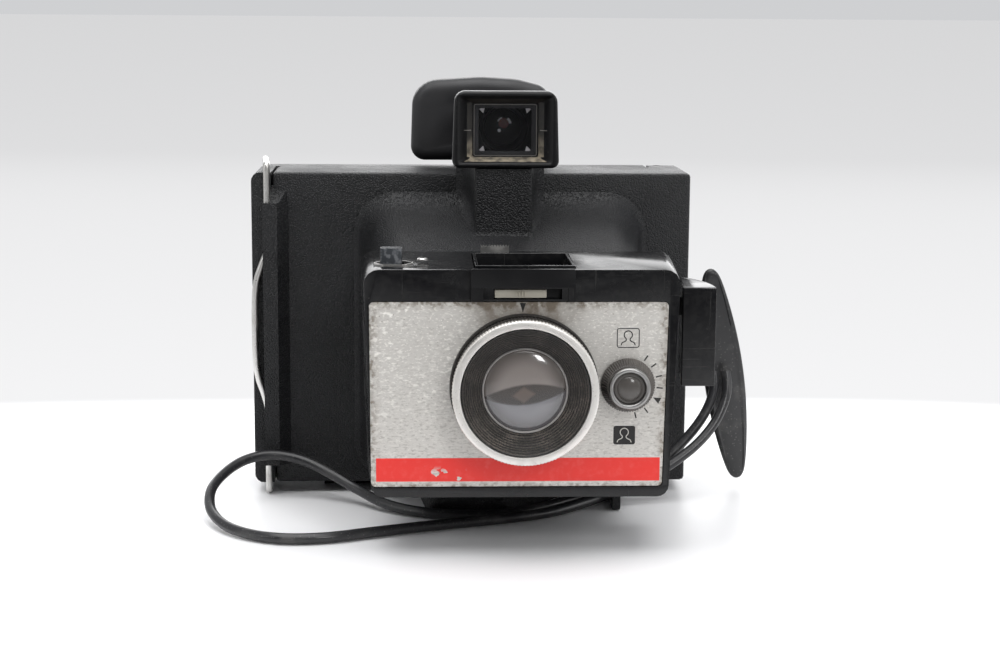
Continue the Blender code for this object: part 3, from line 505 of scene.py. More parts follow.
@dataclass(frozen=True)
class GroovedBlack:
    """Black plastic in fine rings about the lens axis, paler along the grooves and towards the
    bottom, with brown dust.
    """

    name: str = "lens_black"
    dark: Colour = (0.0150, 0.0140, 0.0135)
    dust: Colour = (0.230, 0.195, 0.165)
    pitch: float = 0.00080

    def make(self) -> bpy.types.Material:
        """Build the material: the paler rings follow the sine of the distance to the axis."""
        recipe = Recipe(self.name)
        across, up = recipe.axis("X") - LENS_CENTRE[0], recipe.axis("Z") - LENS_CENTRE[1]
        radius = (across * across + up * up) ** 0.5
        wave = (radius * (2.0 * math.pi / self.pitch)).sine().rise(0.0, 1.0)
        patches = recipe.noise(150.0, 4.0).rise(0.36, 0.70)
        grit = recipe.noise(1500.0, 2.0).rise(0.46, 0.64)
        # Paler towards the bottom of the ring.
        paler_below = up.fall(-0.012, 0.010) * 0.5 + 0.5
        pale_share = (wave * 0.42 + grit * 0.30) * (patches * 0.60 + 0.40) * paler_below
        colour = recipe.mix(pale_share.least(0.8), self.dark, self.dust)
        recipe.bump(wave * 0.6 + grit * 0.3, 0.00006)
        return recipe.put(Base_Color=colour, Roughness=pale_share * 0.3 + 0.36,
                          Specular_IOR_Level=0.4)


@dataclass(frozen=True)
class DustyBevel:
    """Black bevel with cream dust that lies thick in its lower corners."""

    name: str = "dusty_bevel"
    dark: Colour = (0.012, 0.011, 0.010)
    dust: Colour = (0.36, 0.31, 0.23)
    low: float = 0.1402
    high: float = 0.1540

    def make(self) -> bpy.types.Material:
        """Build the material."""
        recipe = Recipe(self.name)
        blotch = recipe.noise(330.0, 4.0).rise(0.32, 0.70)
        lying = recipe.axis("Z").fall(self.low, self.high)
        colour = recipe.mix((lying * (blotch * 0.75 + 0.15) + blotch * 0.03).least(1.0),
                            self.dark, self.dust)
        return recipe.put(Base_Color=colour, Roughness=lying * 0.35 + 0.40)


@dataclass(frozen=True)
class StrapPlastic:
    """Black strap plastic with a soft sheen, scuffs and dust."""

    name: str = "strap_rubber"
    dark: Colour = (0.020, 0.020, 0.022)
    scuffed: Colour = (0.080, 0.078, 0.075)
    roughness: float = 0.28

    def make(self) -> bpy.types.Material:
        """Build the material."""
        recipe = Recipe(self.name)
        scuff = recipe.noise(120.0, 5.0).rise(0.52, 0.74)
        dust = recipe.specks(700.0, 0.26, 0.55)
        colour = recipe.mix((scuff * 0.55 + dust * 0.8).least(1.0), self.dark, self.scuffed)
        recipe.bump(recipe.noise(700.0, 3.0), 0.00004)
        return recipe.put(Base_Color=colour, Roughness=scuff * 0.2 + self.roughness)


class Finish(Enum):
    """The finishes of the camera, named by the record's material slots where they have one."""

    PEBBLED = GrainedPlastic()
    PEBBLED_EDGE = GrainedPlastic("pebbled_edge", wear=0.10, pale=(0.026, 0.026, 0.027))
    POLISHED = PolishedPlastic()
    POLISHED_EDGE = PolishedPlastic("smooth_edge", wear=0.07)
    SCUFFED_TAB = PolishedPlastic("scuffed_tab", (0.040, 0.045, 0.052), (0.35, 0.36, 0.38), 0.30,
                                  0.3, 0.35)
    HOUSING = PolishedPlastic("housing_black", wear=0.015)
    PANEL = PolishedPlastic("panel_black", gloss=0.26)
    RIM_BLACK = PolishedPlastic("rim_black", (0.0035, 0.0035, 0.0042), gloss=0.32, scratches=0.04,
                                gloss_level=0.28)
    MATT = MattPlastic("matte_black", (0.012, 0.012, 0.013), stained=0.15)
    SHIELD = MattPlastic("shield_black", (0.0165, 0.0165, 0.0185), roughness=0.48, stained=0.05)
    INK = MattPlastic("black_ink", (0.012, 0.011, 0.011), roughness=0.5, stained=0.2)
    PALE_INK = MattPlastic("pale_ink", (0.55, 0.53, 0.49), roughness=0.5)
    PLATE = AgedPlate()
    SILVER = WornMetal("silver_ring", (0.77, 0.75, 0.72), roughness=0.42, tarnished=0.25)
    STEEL = WornMetal("steel", (0.68, 0.67, 0.65))
    ROLLER_STEEL = WornMetal("roller_steel", (0.62, 0.62, 0.62), roughness=0.20,
                             brushing=Brushing.ALONG_X)
    GLASS = ClearGlass()
    FINDER_GLASS = ClearGlass("finder_glass", (0.95, 0.95, 0.96), 1.30, 0.01, 0.6)
    LENS_VIEW = PaintedLensView()
    CREAM = MattPlastic("cream_plastic", (0.52, 0.49, 0.41), (0.16, 0.12, 0.07), 0.45, 0.45)
    DUSTY = DustyBevel()
    BOARD = MattPlastic("circuit_board", (0.22, 0.11, 0.035), (0.10, 0.05, 0.02), 0.5, 0.5)
    COPPER = WornMetal("copper_wire", (0.72, 0.33, 0.16), brushing=Brushing.ALONG_Z)
    CELL = WornMetal("cell_case", (0.45, 0.44, 0.40), brushing=Brushing.ALONG_Z)
    BRASS = WornMetal("brass_strip", (0.78, 0.60, 0.28), brushing=Brushing.ALONG_X)
    LENS_BLACK = GroovedBlack()
    KNOB = MattPlastic("knob_black", (0.060, 0.054, 0.050), (0.17, 0.155, 0.14), 0.42, 0.5)
    EYE_RING = WornMetal("eye_ring", (0.33, 0.325, 0.32), roughness=0.30, tarnished=0.3)
    EYE_DOME = MattPlastic("eye_dome", (0.085, 0.078, 0.072), (0.04, 0.035, 0.03), 0.18, 0.4)
    # Pale grey of the glass's lip: a painted highlight on the edge of the glass.
    LIP = MattPlastic("glass_lip", (0.36, 0.345, 0.335), (0.10, 0.10, 0.10), 0.12, 0.4)
    LINE_GREY = MattPlastic("line_grey", (0.17, 0.16, 0.15), roughness=0.4)
    FACET = MattPlastic("facet_grey", (0.62, 0.60, 0.60), (0.10, 0.10, 0.10), 0.2, 0.7)
    # White of the painted highlights in the finder.
    GLEAM = MattPlastic("gleam_white", (0.95, 0.95, 0.95), roughness=0.2, stained=0.0)
    # Dark red standing for the reddish glint in the eyepiece: a painted reflection.
    EYEPIECE = MattPlastic("eyepiece_amber", (0.160, 0.018, 0.010), (0.02, 0.01, 0.01), 0.05, 0.7)
    STRAP = StrapPlastic()
    TOGGLE = StrapPlastic("toggle_plastic", (0.022, 0.022, 0.023), (0.085, 0.083, 0.080), 0.30)
    FOAM = MattPlastic("foam_seal", (0.006, 0.006, 0.006), (0.03, 0.03, 0.03), 0.95, 0.5, 0.0003)

    def material(self) -> bpy.types.Material:
        """The finish's material, made on first use."""
        found = bpy.data.materials.get("look_" + self.value.name)
        if found is None:
            found = self.value.make()
            found.name = "look_" + self.value.name
        return found


# ---------------------------------------------------------------- surfaces


def in_scene(name: str, data: bpy.types.ID) -> bpy.types.Object:
    """Make an object of a mesh, light or camera and link it to the scene."""
    made = bpy.data.objects.new(name, data)
    bpy.context.scene.collection.objects.link(made)
    return made


@dataclass
class Grid:
    """A surface as an array of points, rows by columns by three.

    around joins the last column to the first, along joins the last row to the
    first, and capped closes the first and last rows with a face each.
    """

    points: Array
    around: bool = True
    along: bool = False
    capped: bool = True

    def faces(self, first: int) -> list[list[int]]:
        """Corner numbers of each face, counted from first."""
        rows, columns = self.points.shape[:2]
        row = np.arange(rows if self.along else rows - 1)
        column = np.arange(columns if self.around else columns - 1)
        r0, c0 = np.meshgrid(row, column, indexing="ij")
        r1, c1 = (r0 + 1) % rows, (c0 + 1) % columns
        corners = np.stack([r0 * columns + c0, r0 * columns + c1, r1 * columns + c1,
                            r1 * columns + c0], -1).reshape(-1, 4) + first
        made = corners.tolist()
        if self.capped and self.around and not self.along:
            made.append((np.arange(columns)[::-1] + first).tolist())
            made.append((np.arange(columns) + (rows - 1) * columns + first).tolist())
        return made


def piece(name: str, grids: Sequence[Grid], finish: Finish, body: str,
          stands_for: Sequence[str] = (),
          crease: float = 32.0) -> bpy.types.Object:
    """Make one piece of closed grids.

    Args:
        name: the piece's name.
        grids: its surfaces, each closed.
        finish: its finish.
        body: the body that it rides on.
        stands_for: frame nodes that it replaces.
        crease: edges sharper than this many degrees stay sharp.

    Returns:
        The object, riding on its body.
    """
    points, faces, first = [], [], 0
    for grid in grids:
        points.append(grid.points.reshape(-1, 3))
        faces += grid.faces(first)
        first += points[-1].shape[0]
    mesh = bpy.data.meshes.new(name)
    mesh.from_pydata(np.concatenate(points).tolist(), [], faces)
    shape = bmesh.new()
    shape.from_mesh(mesh)
    bmesh.ops.remove_doubles(shape, verts=shape.verts, dist=MERGE)
    bmesh.ops.recalc_face_normals(shape, faces=shape.faces)
    shape.to_mesh(mesh)
    shape.free()
    mesh.shade_smooth()
    mesh.set_sharp_from_angle(angle=math.radians(crease))
    made = in_scene(name, mesh)
    mesh.materials.append(finish.material())
    return settle(made, body, stands_for)


def settle(made: bpy.types.Object, body: str, stands_for: Sequence[str]) -> bpy.types.Object:
    """Let a piece ride on its body, stand for its nodes, and log it."""
    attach(made, body)
    if stands_for:
        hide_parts(*stands_for)
    LOG.info("%s rides on %s", made.name, body)
    return made


def refined(node: str, finish: Finish, round_edges: float = 0.0003, edge: Finish | None = None,
            steps: int = 2, levels: int = 0,
            crease: float = 38.0) -> bpy.types.Object:
    """Make a fine copy of a frame node: joined, its edges rounded, and shaded smooth.

    Args:
        node: the frame node, which the copy replaces.
        finish: its finish.
        round_edges: width of the rounding on sharp edges, in metres, or 0.
        edge: finish of the rounded edges, where it differs.
        steps: faces across a rounding.
        levels: subdivision levels.
        crease: edges sharper than this many degrees are rounded or stay sharp.

    Returns:
        The piece.
    """
    shape = bmesh.new()
    shape.from_mesh(frame["nodes"][node].data)
    bmesh.ops.remove_doubles(shape, verts=shape.verts, dist=MERGE)
    if levels == 0:
        bmesh.ops.dissolve_limit(shape, angle_limit=math.radians(0.6), verts=shape.verts,
                                 edges=shape.edges)
    name = node + "_fine"
    mesh = bpy.data.meshes.new(name)
    shape.to_mesh(mesh)
    shape.free()
    mesh.materials.append(finish.material())
    mesh.shade_smooth()
    if round_edges == 0.0 and levels == 0:
        mesh.set_sharp_from_angle(angle=math.radians(crease))
    made = in_scene(name, mesh)
    if round_edges > 0.0:
        rounding = made.modifiers.new("rounding", "BEVEL")
        rounding.width = round_edges
        rounding.segments = steps
        rounding.limit_method = "ANGLE"
        rounding.angle_limit = math.radians(crease)
        rounding.harden_normals = True
        if edge is not None:
            mesh.materials.append(edge.material())
            rounding.material = 1
    if levels:
        smooth = made.modifiers.new("smooth", "SUBSURF")
        smooth.levels = smooth.render_levels = levels
    body = frame["nodes"][node]["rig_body"]
    return settle(made, body, [node])


def outline(corners: Array, radii: Array, inset: float = 0.0, arc: int = 5) -> Array:
    """Rounded polygon as points, two coordinates each.

    Each corner is moved in by the inset along both of its edges, and an arc of its
    radius less the inset joins the points at radius / tan(half angle) from it.

    Args:
        corners: corner places, in order anticlockwise.
        radii: the radius of each.
        inset: how far the whole outline is drawn in.
        arc: points on each corner.

    Returns:
        An array of len(corners) * arc points.
    """
    ahead = np.roll(corners, -1, 0) - corners
    ahead /= np.linalg.norm(ahead, axis=1, keepdims=True)
    back = -np.roll(ahead, 1, 0)
    inward = ahead + back
    sine = np.abs(ahead[:, 0] * back[:, 1] - ahead[:, 1] * back[:, 0])
    turn = np.where(ahead[:, 0] * back[:, 1] - ahead[:, 1] * back[:, 0] >= 0.0, 1.0, -1.0)
    moved = corners + inward / sine[:, None] * inset * turn[:, None]
    half = np.arccos(np.clip((ahead * back).sum(1), -1.0, 1.0)) / 2.0
    radius = np.maximum(radii - inset * turn, 2e-5)
    reach = radius / np.tan(half)
    unit = inward / np.linalg.norm(inward, axis=1, keepdims=True)
    middle = moved + unit * (radius / np.sin(half))[:, None]
    start = moved + back * reach[:, None] - middle
    end = moved + ahead * reach[:, None] - middle
    share = np.linspace(0.0, 1.0, arc)[None, :, None]
    sweep = start[:, None, :] * (1.0 - share) + end[:, None, :] * share
    sweep *= radius[:, None, None] / np.linalg.norm(sweep, axis=2, keepdims=True)
    return (middle[:, None, :] + sweep).reshape(-1, 2)


def oblong(left: float, right: float, low: float, high: float) -> Array:
    """Corners of a rectangle, anticlockwise."""
    return np.array([(left, low), (right, low), (right, high), (left, high)])


def in_space(flat: Array, depth: float | Array, normal: str = "Y") -> Array:
    """Stand flat points up in space, with the given depth on the normal's axis."""
    deep = np.broadcast_to(np.asarray(depth, float), flat.shape[:-1])
    first, second = flat[..., 0], flat[..., 1]
    order = {"Y": (first, deep, second), "X": (deep, first, second), "Z": (first, second, deep)}
    return np.stack(order[normal], -1)


def slab(flat: Array, depths: Sequence[float]) -> Grid:
    """Closed slab of one outline, with a face at each end of its depths along Y."""
    return Grid(np.stack([in_space(flat, depth) for depth in depths]))


def heading(degrees: float) -> Array:
    """Unit direction in a plane, at an angle in degrees."""
    return np.array((math.cos(math.radians(degrees)), math.sin(math.radians(degrees))))


def prism(near: Array, far: Array, depths: tuple[float, float], radii: Array,
          rims: tuple[float, float], normal: str = "Y", arc: int = 5, rim_steps: int = 4) -> Grid:
    """Loft between two outlines, with rounded rims.

    A row t of a rim lies at inset rim * (1 - sin t) and depth rim * (1 - cos t), so
    the wall turns into the end face on a quarter circle.

    Args:
        near: corners of the first end.
        far: corners of the second end.
        depths: where the two ends lie on the normal's axis.
        radii: corner radii.
        rims: rounding at each end, in metres.
        normal: the axis that the prism runs along.
        arc: points on each corner.
        rim_steps: rows on each rim.

    Returns:
        A closed grid.
    """
    t = np.linspace(0.0, math.pi / 2.0, rim_steps)
    run = depths[1] - depths[0]
    sizes = [(1.0 - math.sin(a), 1.0 - math.cos(a)) for a in t]
    near_rows = [(rims[0] * inset, abs(rims[0] / run) * deep) for inset, deep in sizes]
    far_rows = [(rims[1] * inset, 1.0 - abs(rims[1] / run) * deep) for inset, deep in sizes[::-1]]
    made = []
    for inset, share in near_rows + far_rows:
        corners = near * (1.0 - share) + far * share
        flat = outline(corners, radii, inset, arc)
        made.append(in_space(flat, depths[0] + run * share, normal))
    return Grid(np.stack(made))


def turned(profile: Array, centre: tuple[float, float], sides: int = 96,
           ripple: Array | None = None, ripples: int = 0, closed: bool = True,
           axis: str = "-Y") -> Grid:
    """Turn a profile of (radius, height) points about an axis.

    A point lies at angle a round the axis, at radius + ripple * cos(ripples * a), with
    its height measured towards -Y, or along X or Z.

    Args:
        profile: the outline's points.
        centre: the axis's place in the other two coordinates.
        sides: columns round the axis.
        ripple: height of the knurling at each profile point.
        ripples: how many knurls go round.
        closed: the profile is a loop clear of the axis; otherwise it starts and ends on it.
        axis: "-Y", "X" or "Z".

    Returns:
        A closed grid.
    """
    angle = np.linspace(0.0, 2.0 * math.pi, sides, endpoint=False)[None, :]
    wave = np.zeros(len(profile)) if ripple is None else ripple
    radius = profile[:, :1] + wave[:, None] * np.cos(ripples * angle)
    height = np.broadcast_to(profile[:, 1:2], radius.shape)
    first, second = centre[0] + radius * np.cos(angle), centre[1] + radius * np.sin(angle)
    order = {"-Y": (first, -height, second), "X": (height, first, second),
             "Z": (first, second, height)}
    return Grid(np.stack(order[axis], -1), along=closed, capped=False)


def ribbon(path: Array, width: float, depths: tuple[float, float], normal: str = "Y",
           closed: bool = False) -> Grid:
    """Carry a flat oblong section along a plane path.

    Each point is set off by half the width along the path's normal, and the section's
    four corners lie at the two sides and the two depths.

    Args:
        path: points, two coordinates each.
        width: the line's width.
        depths: where its two faces lie on the normal's axis.
        normal: the axis that the path's plane faces.
        closed: the path returns to its start.

    Returns:
        A closed grid.
    """
    if closed:
        along = np.roll(path, -1, 0) - np.roll(path, 1, 0)
    else:
        along = np.gradient(path, axis=0)
    along = along / np.linalg.norm(along, axis=1, keepdims=True)
    side = np.stack([-along[:, 1], along[:, 0]], -1) * width / 2.0
    corners = [in_space(path + side, depths[0], normal), in_space(path - side, depths[0], normal),
               in_space(path - side, depths[1], normal), in_space(path + side, depths[1], normal)]
    return Grid(np.stack(corners, 1), along=closed)


def swept(route: Array, section: Callable[[Array, Array], Array], around: int,
          upright: tuple[float, float, float] = (0.0, 0.0, 1.0)) -> Grid:
    """Carry a section along a route in space.

    The section's side vector is the upright crossed with the route's direction, so it
    does not twist, and a point lies at radius(share, angle) from the route.

    Args:
        route: points in space.
        section: radius for a share of the way and an angle, as arrays.
        around: columns round the section.
        upright: a direction that the route never runs along for long.

    Returns:
        A closed grid.
    """
    along = np.gradient(route, axis=0)
    along /= np.linalg.norm(along, axis=1, keepdims=True)
    side = np.cross(np.array(upright), along)
    side /= np.linalg.norm(side, axis=1, keepdims=True)
    over = np.cross(along, side)
    angle = np.linspace(0.0, 2.0 * math.pi, around, endpoint=False)
    share = np.linspace(0.0, 1.0, len(route))
    radius = section(share[:, None], angle[None, :])[..., None]
    points = (route[:, None] + radius * (side[:, None] * np.cos(angle)[None, :, None]
                                         + over[:, None] * np.sin(angle)[None, :, None]))
    return Grid(points)


def smooth_through(route: Array, count: int) -> Array:
    """Evenly spaced points of a Catmull-Rom curve through a route.

    Between knots b and c, with neighbours a and d, a point is half of
    2b + (c-a)t + (2a-5b+4c-d)t^2 + (3b-a-3c+d)t^3.

    Args:
        route: the knots.
        count: how many points to return.

    Returns:
        An array of points.
    """
    knots = np.concatenate([[2 * route[0] - route[1]], route, [2 * route[-1] - route[-2]]])
    a, b, c, d = (knots[i:len(knots) - 3 + i, None, :] for i in range(4))
    t = np.linspace(0.0, 1.0, 20, endpoint=False)[None, :, None]
    fine = 0.5 * (2 * b + (c - a) * t + (2 * a - 5 * b + 4 * c - d) * t ** 2
                  + (3 * b - a - 3 * c + d) * t ** 3)
    fine = np.concatenate([fine.reshape(-1, route.shape[1]), route[-1:]])
    length = np.concatenate([[0.0], np.linalg.norm(np.diff(fine, axis=0), axis=1).cumsum()])
    wanted = np.linspace(0.0, length[-1], count)
    return np.stack([np.interp(wanted, length, fine[:, i]) for i in range(route.shape[1])], -1)


def arc_points(centre: tuple[float, float], radius: float, start: float, end: float,
               count: int) -> Array:
    """Points of a circular arc, with its angles in degrees."""
    angle = np.radians(np.linspace(start, end, count))
    return np.array(centre) + radius * np.stack([np.cos(angle), np.sin(angle)], -1)


def middle_of(node: str) -> tuple[float, float, float]:
    """Centre of a frame node's box."""
    low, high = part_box(node)
    return tuple((low[i] + high[i]) / 2.0 for i in range(3))


# ---------------------------------------------------------------- studio


@dataclass
class Studio:
    """Pale floor, soft light and the camera at the viewing angle."""

    focal: float = 68.4
    turn: float = -2.62
    tilt: float = 9.61
    roll: float = 0.38
    stand: tuple[float, float, float] = (-0.02365, -0.74284, 0.19903)
    table_reach: float = 0.205
    floor_size: float = 70.0
    near_tone: float = 0.80
    far_tone: float = 0.62
    lamps: tuple[tuple[Any, ...], ...] = (
        ("overhead", (-0.05, -0.20, 1.25), (1.3, 1.3), 18.0),
        ("left_fill", (-1.20, -0.50, 0.60), (0.8, 0.8), 2.6),
        ("right_fill", (1.25, -0.45, 0.60), (0.8, 0.8), 4.0),
        ("back_wash", (0.20, 1.60, 0.78), (2.6, 1.0), 19.0, (0.0, 0.0, 0.10)),
        ("front_key", (0.62, -1.45, 0.95), (0.30, 0.50), 6.5))

    def camera(self) -> None:
        """Place the camera: turned about Z, tilted down and rolled about its own axis."""
        lens = bpy.data.cameras.new("view")
        lens.lens = self.focal
        lens.sensor_width = 36.0
        lens.clip_start = 0.01
        camera = in_scene("view", lens)
        camera.matrix_world = (Matrix.Translation(self.stand)
                               @ Matrix.Rotation(math.radians(self.turn), 4, "Z")
                               @ Matrix.Rotation(math.radians(90.0 - self.tilt), 4, "X")
                               @ Matrix.Rotation(math.radians(self.roll), 4, "Z"))
        bpy.context.scene.camera = camera

    def floor(self) -> None:
        """Lay a white floor that turns, past the table's reach, into an evenly lit sweep.

        The sweep's tone falls from near_tone to far_tone as the reciprocal of the
        distance from the camera's stand, and it is dimmer on the camera's side.
        """
        recipe = Recipe("floor")
        across, deep = recipe.axis("X") * 0.6, recipe.axis("Y")
        reach = ((across ** 4.0) + (deep ** 4.0)) ** 0.25
        edge = reach.rise(self.table_reach, self.table_reach + 0.030)
        back = -self.stand[1]
        steep = ((reach + back) ** -1.0 * (self.table_reach + back)).least(1.0)
        tone = (steep * (self.near_tone - self.far_tone) + self.far_tone) * (
            recipe.axis("Y").rise(-1.2, 0.3) * 0.55 + 0.45)
        grey = recipe.mix(tone * edge, (0.0, 0.0, 0.0), (1.0, 1.0, 1.01))
        made = recipe.put(Base_Color=recipe.mix(edge, (0.93, 0.93, 0.94), (0.03, 0.03, 0.03)),
                          Roughness=edge * 0.45 + 0.40, Specular_IOR_Level=0.30,
                          Emission_Color=grey, Emission_Strength=1.0)
        size = self.floor_size
        mesh = bpy.data.meshes.new("floor")
        mesh.from_pydata([(-size, -size, 0.0), (size, -size, 0.0), (size, size, 0.0),
                          (-size, size, 0.0)], [], [(0, 1, 2, 3)])
        mesh.materials.append(made)
        in_scene("floor", mesh)

    def lamp(self, name: str, place: tuple[float, float, float], size: tuple[float, float],
             power: float, aim: tuple[float, float, float] = (0.0, 0.0, 0.07)) -> None:
        """Hang one oblong soft light, wide by high, aimed at a point."""
        light = bpy.data.lights.new(name, "AREA")
        light.shape = "RECTANGLE"
        light.size, light.size_y = size
        light.energy = power
        lamp = in_scene(name, light)
        lamp.visible_camera = False
        away = np.array(place) - np.array(aim)
        away /= np.linalg.norm(away)
        side = np.cross((0.0, 0.0, 1.0), away)
        side /= np.linalg.norm(side)
        over = np.cross(away, side)
        lamp.matrix_world = Matrix([(*row, place[i]) for i, row in
                                    enumerate(np.stack([side, over, away], 1).tolist())]
                                   + [(0.0, 0.0, 0.0, 1.0)])

    def world(self) -> None:
        """Surround the scene with pale grey that is brighter behind and above."""
        world = bpy.data.worlds.new("studio")
        world.use_nodes = True
        bpy.context.scene.world = world
        tree = world.node_tree
        place = tree.nodes.new("ShaderNodeTexCoord")
        parts = tree.nodes.new("ShaderNodeSeparateXYZ")
        ramp = tree.nodes.new("ShaderNodeMapRange")
        for name, value in (("From Min", -0.6), ("From Max", 0.7), ("To Min", 0.14),
                            ("To Max", self.far_tone * 1.04)):
            ramp.inputs[name].default_value = value
        tree.links.new(place.outputs["Generated"], parts.inputs[0])
        tree.links.new(parts.outputs["Y"], ramp.inputs["Value"])
        back = tree.nodes["Background"]
        back.inputs["Color"].default_value = (0.97, 0.98, 1.0, 1.0)
        tree.links.new(ramp.outputs[0], back.inputs["Strength"])

    def build(self) -> None:
        """Make the whole studio."""
        self.camera()
        self.floor()
        for lamp in self.lamps:
            self.lamp(*lamp)
        self.world()
        bpy.context.scene.view_settings.view_transform = "Standard"


# ---------------------------------------------------------------- strap


@dataclass
class StrapLoop:
    """The looped strap, beaded lengthwise, and the toggle bar on its ends."""

    radius: float = 0.0021
    bead: float = 0.05
    around: int = 32
    points: int = 420
    ties: tuple[tuple[float, float, float], ...] = (
        (0.1008, 0.0322, 0.0515), (0.1012, 0.0305, 0.0440), (0.0975, 0.0280, 0.0350),
        (0.0905, 0.0250, 0.0260), (0.0800, 0.0215, 0.0165), (0.0690, 0.0185, 0.0092),
        (0.0580, 0.0148, 0.0058), (0.0460, 0.0105, 0.0038), (0.0330, 0.0030, 0.0024),
        (0.0200, -0.0080, 0.0024), (0.0080, -0.0128, 0.0024), (-0.0060, -0.0128, 0.0024),
        (-0.0210, -0.0085, 0.0026), (-0.0350, 0.0010, 0.0034), (-0.0470, 0.0130, 0.0065),
        (-0.0580, 0.0205, 0.0112), (-0.0700, 0.0255, 0.0158), (-0.0820, 0.0250, 0.0182),
        (-0.0920, 0.0200, 0.0176), (-0.0995, 0.0110, 0.0148), (-0.1045, -0.0010, 0.0104),
        (-0.1035, -0.0145, 0.0058), (-0.0970, -0.0280, 0.0032), (-0.0865, -0.0390, 0.0024),
        (-0.0730, -0.0455, 0.0024), (-0.0570, -0.0445, 0.0024), (-0.0400, -0.0375, 0.0024),
        (-0.0200, -0.0295, 0.0024), (0.0000, -0.0225, 0.0024), (0.0170, -0.0160, 0.0024),
        (0.0320, -0.0080, 0.0024), (0.0450, 0.0010, 0.0036), (0.0570, 0.0080, 0.0058),
        (0.0690, 0.0128, 0.0092), (0.0810, 0.0165, 0.0150), (0.0925, 0.0205, 0.0225),
        (0.1008, 0.0245, 0.0310), (0.1055, 0.0280, 0.0400), (0.1066, 0.0300, 0.0460),
        (0.1062, 0.0322, 0.0515))
    toggle_foot: tuple[float, float, float] = (0.1140, 0.0420, 0.0035)
    toggle_tip: tuple[float, float, float] = (0.0995, 0.0380, 0.0940)
    toggle_half: float = 0.0085
    toggle_thick: float = 0.0030

    def section(self, share: Array, angle: Array) -> Array:
        """Radius of the strap: four shallow beads, radius * (1 - bead * (1 - cos 4a) / 2)."""
        return self.radius * (1.0 - self.bead * (1.0 - np.cos(4.0 * angle)) / 2.0) + share * 0.0

    def toggle(self) -> bpy.types.Object:
        """Make the toggle: a flat oval section swollen along its length.

        The half width is toggle_half * s, s the 0.75 power of sin(pi * (0.08 + 0.84 t)),
        and the front face dips by a shallow trough that leaves a raised rim.

        Returns:
            The toggle.
        """
        foot, tip = np.array(self.toggle_foot), np.array(self.toggle_tip)
        along = (tip - foot) / np.linalg.norm(tip - foot)
        across = np.array((1.0, 0.0, 0.0)) - along * along[0]
        across /= np.linalg.norm(across)
        deep = np.cross(along, across)
        t = (1.0 - np.cos(np.linspace(0.0, math.pi, 72))) / 2.0
        swell = np.maximum(0.18, np.sin(math.pi * (0.08 + 0.84 * t))) ** 0.75
        ends = np.sqrt(np.clip(1.0 - (2.0 * np.abs(t - 0.5)) ** 24, 0.0, 1.0))
        angle = np.linspace(0.0, 2.0 * math.pi, 56, endpoint=False)
        wide = np.sign(np.cos(angle)) * np.abs(np.cos(angle)) ** 0.8
        thick = np.sign(np.sin(angle)) * np.abs(np.sin(angle)) ** 0.8
        width = self.toggle_half * swell * ends
        depth = self.toggle_thick * (0.6 + 0.4 * swell) * ends
        trough = 0.0007 * (np.abs(wide)[None, :] < 0.72) * np.abs(thick)[None, :] * (
            ends * np.clip(np.minimum(t, 1.0 - t) * 14.0, 0.0, 1.0))[:, None]
        middle = foot + (tip - foot) * t[:, None]
        points = (middle[:, None] + across * (width[:, None] * wide)[..., None]
                  + deep * (depth[:, None] * thick - np.sign(thick) * trough)[..., None])
        return piece("toggle_bar", [Grid(points)], Finish.TOGGLE, "root", ["strap_toggle"],
                     60.0)

    def build(self) -> None:
        route = smooth_through(np.array(self.ties), self.points)
        strap = piece("strap_cord", [swept(route, self.section, self.around)], Finish.STRAP,
                      "root", ["strap"], 50.0)
        toggle = self.toggle()


# ---------------------------------------------------------------- body and back


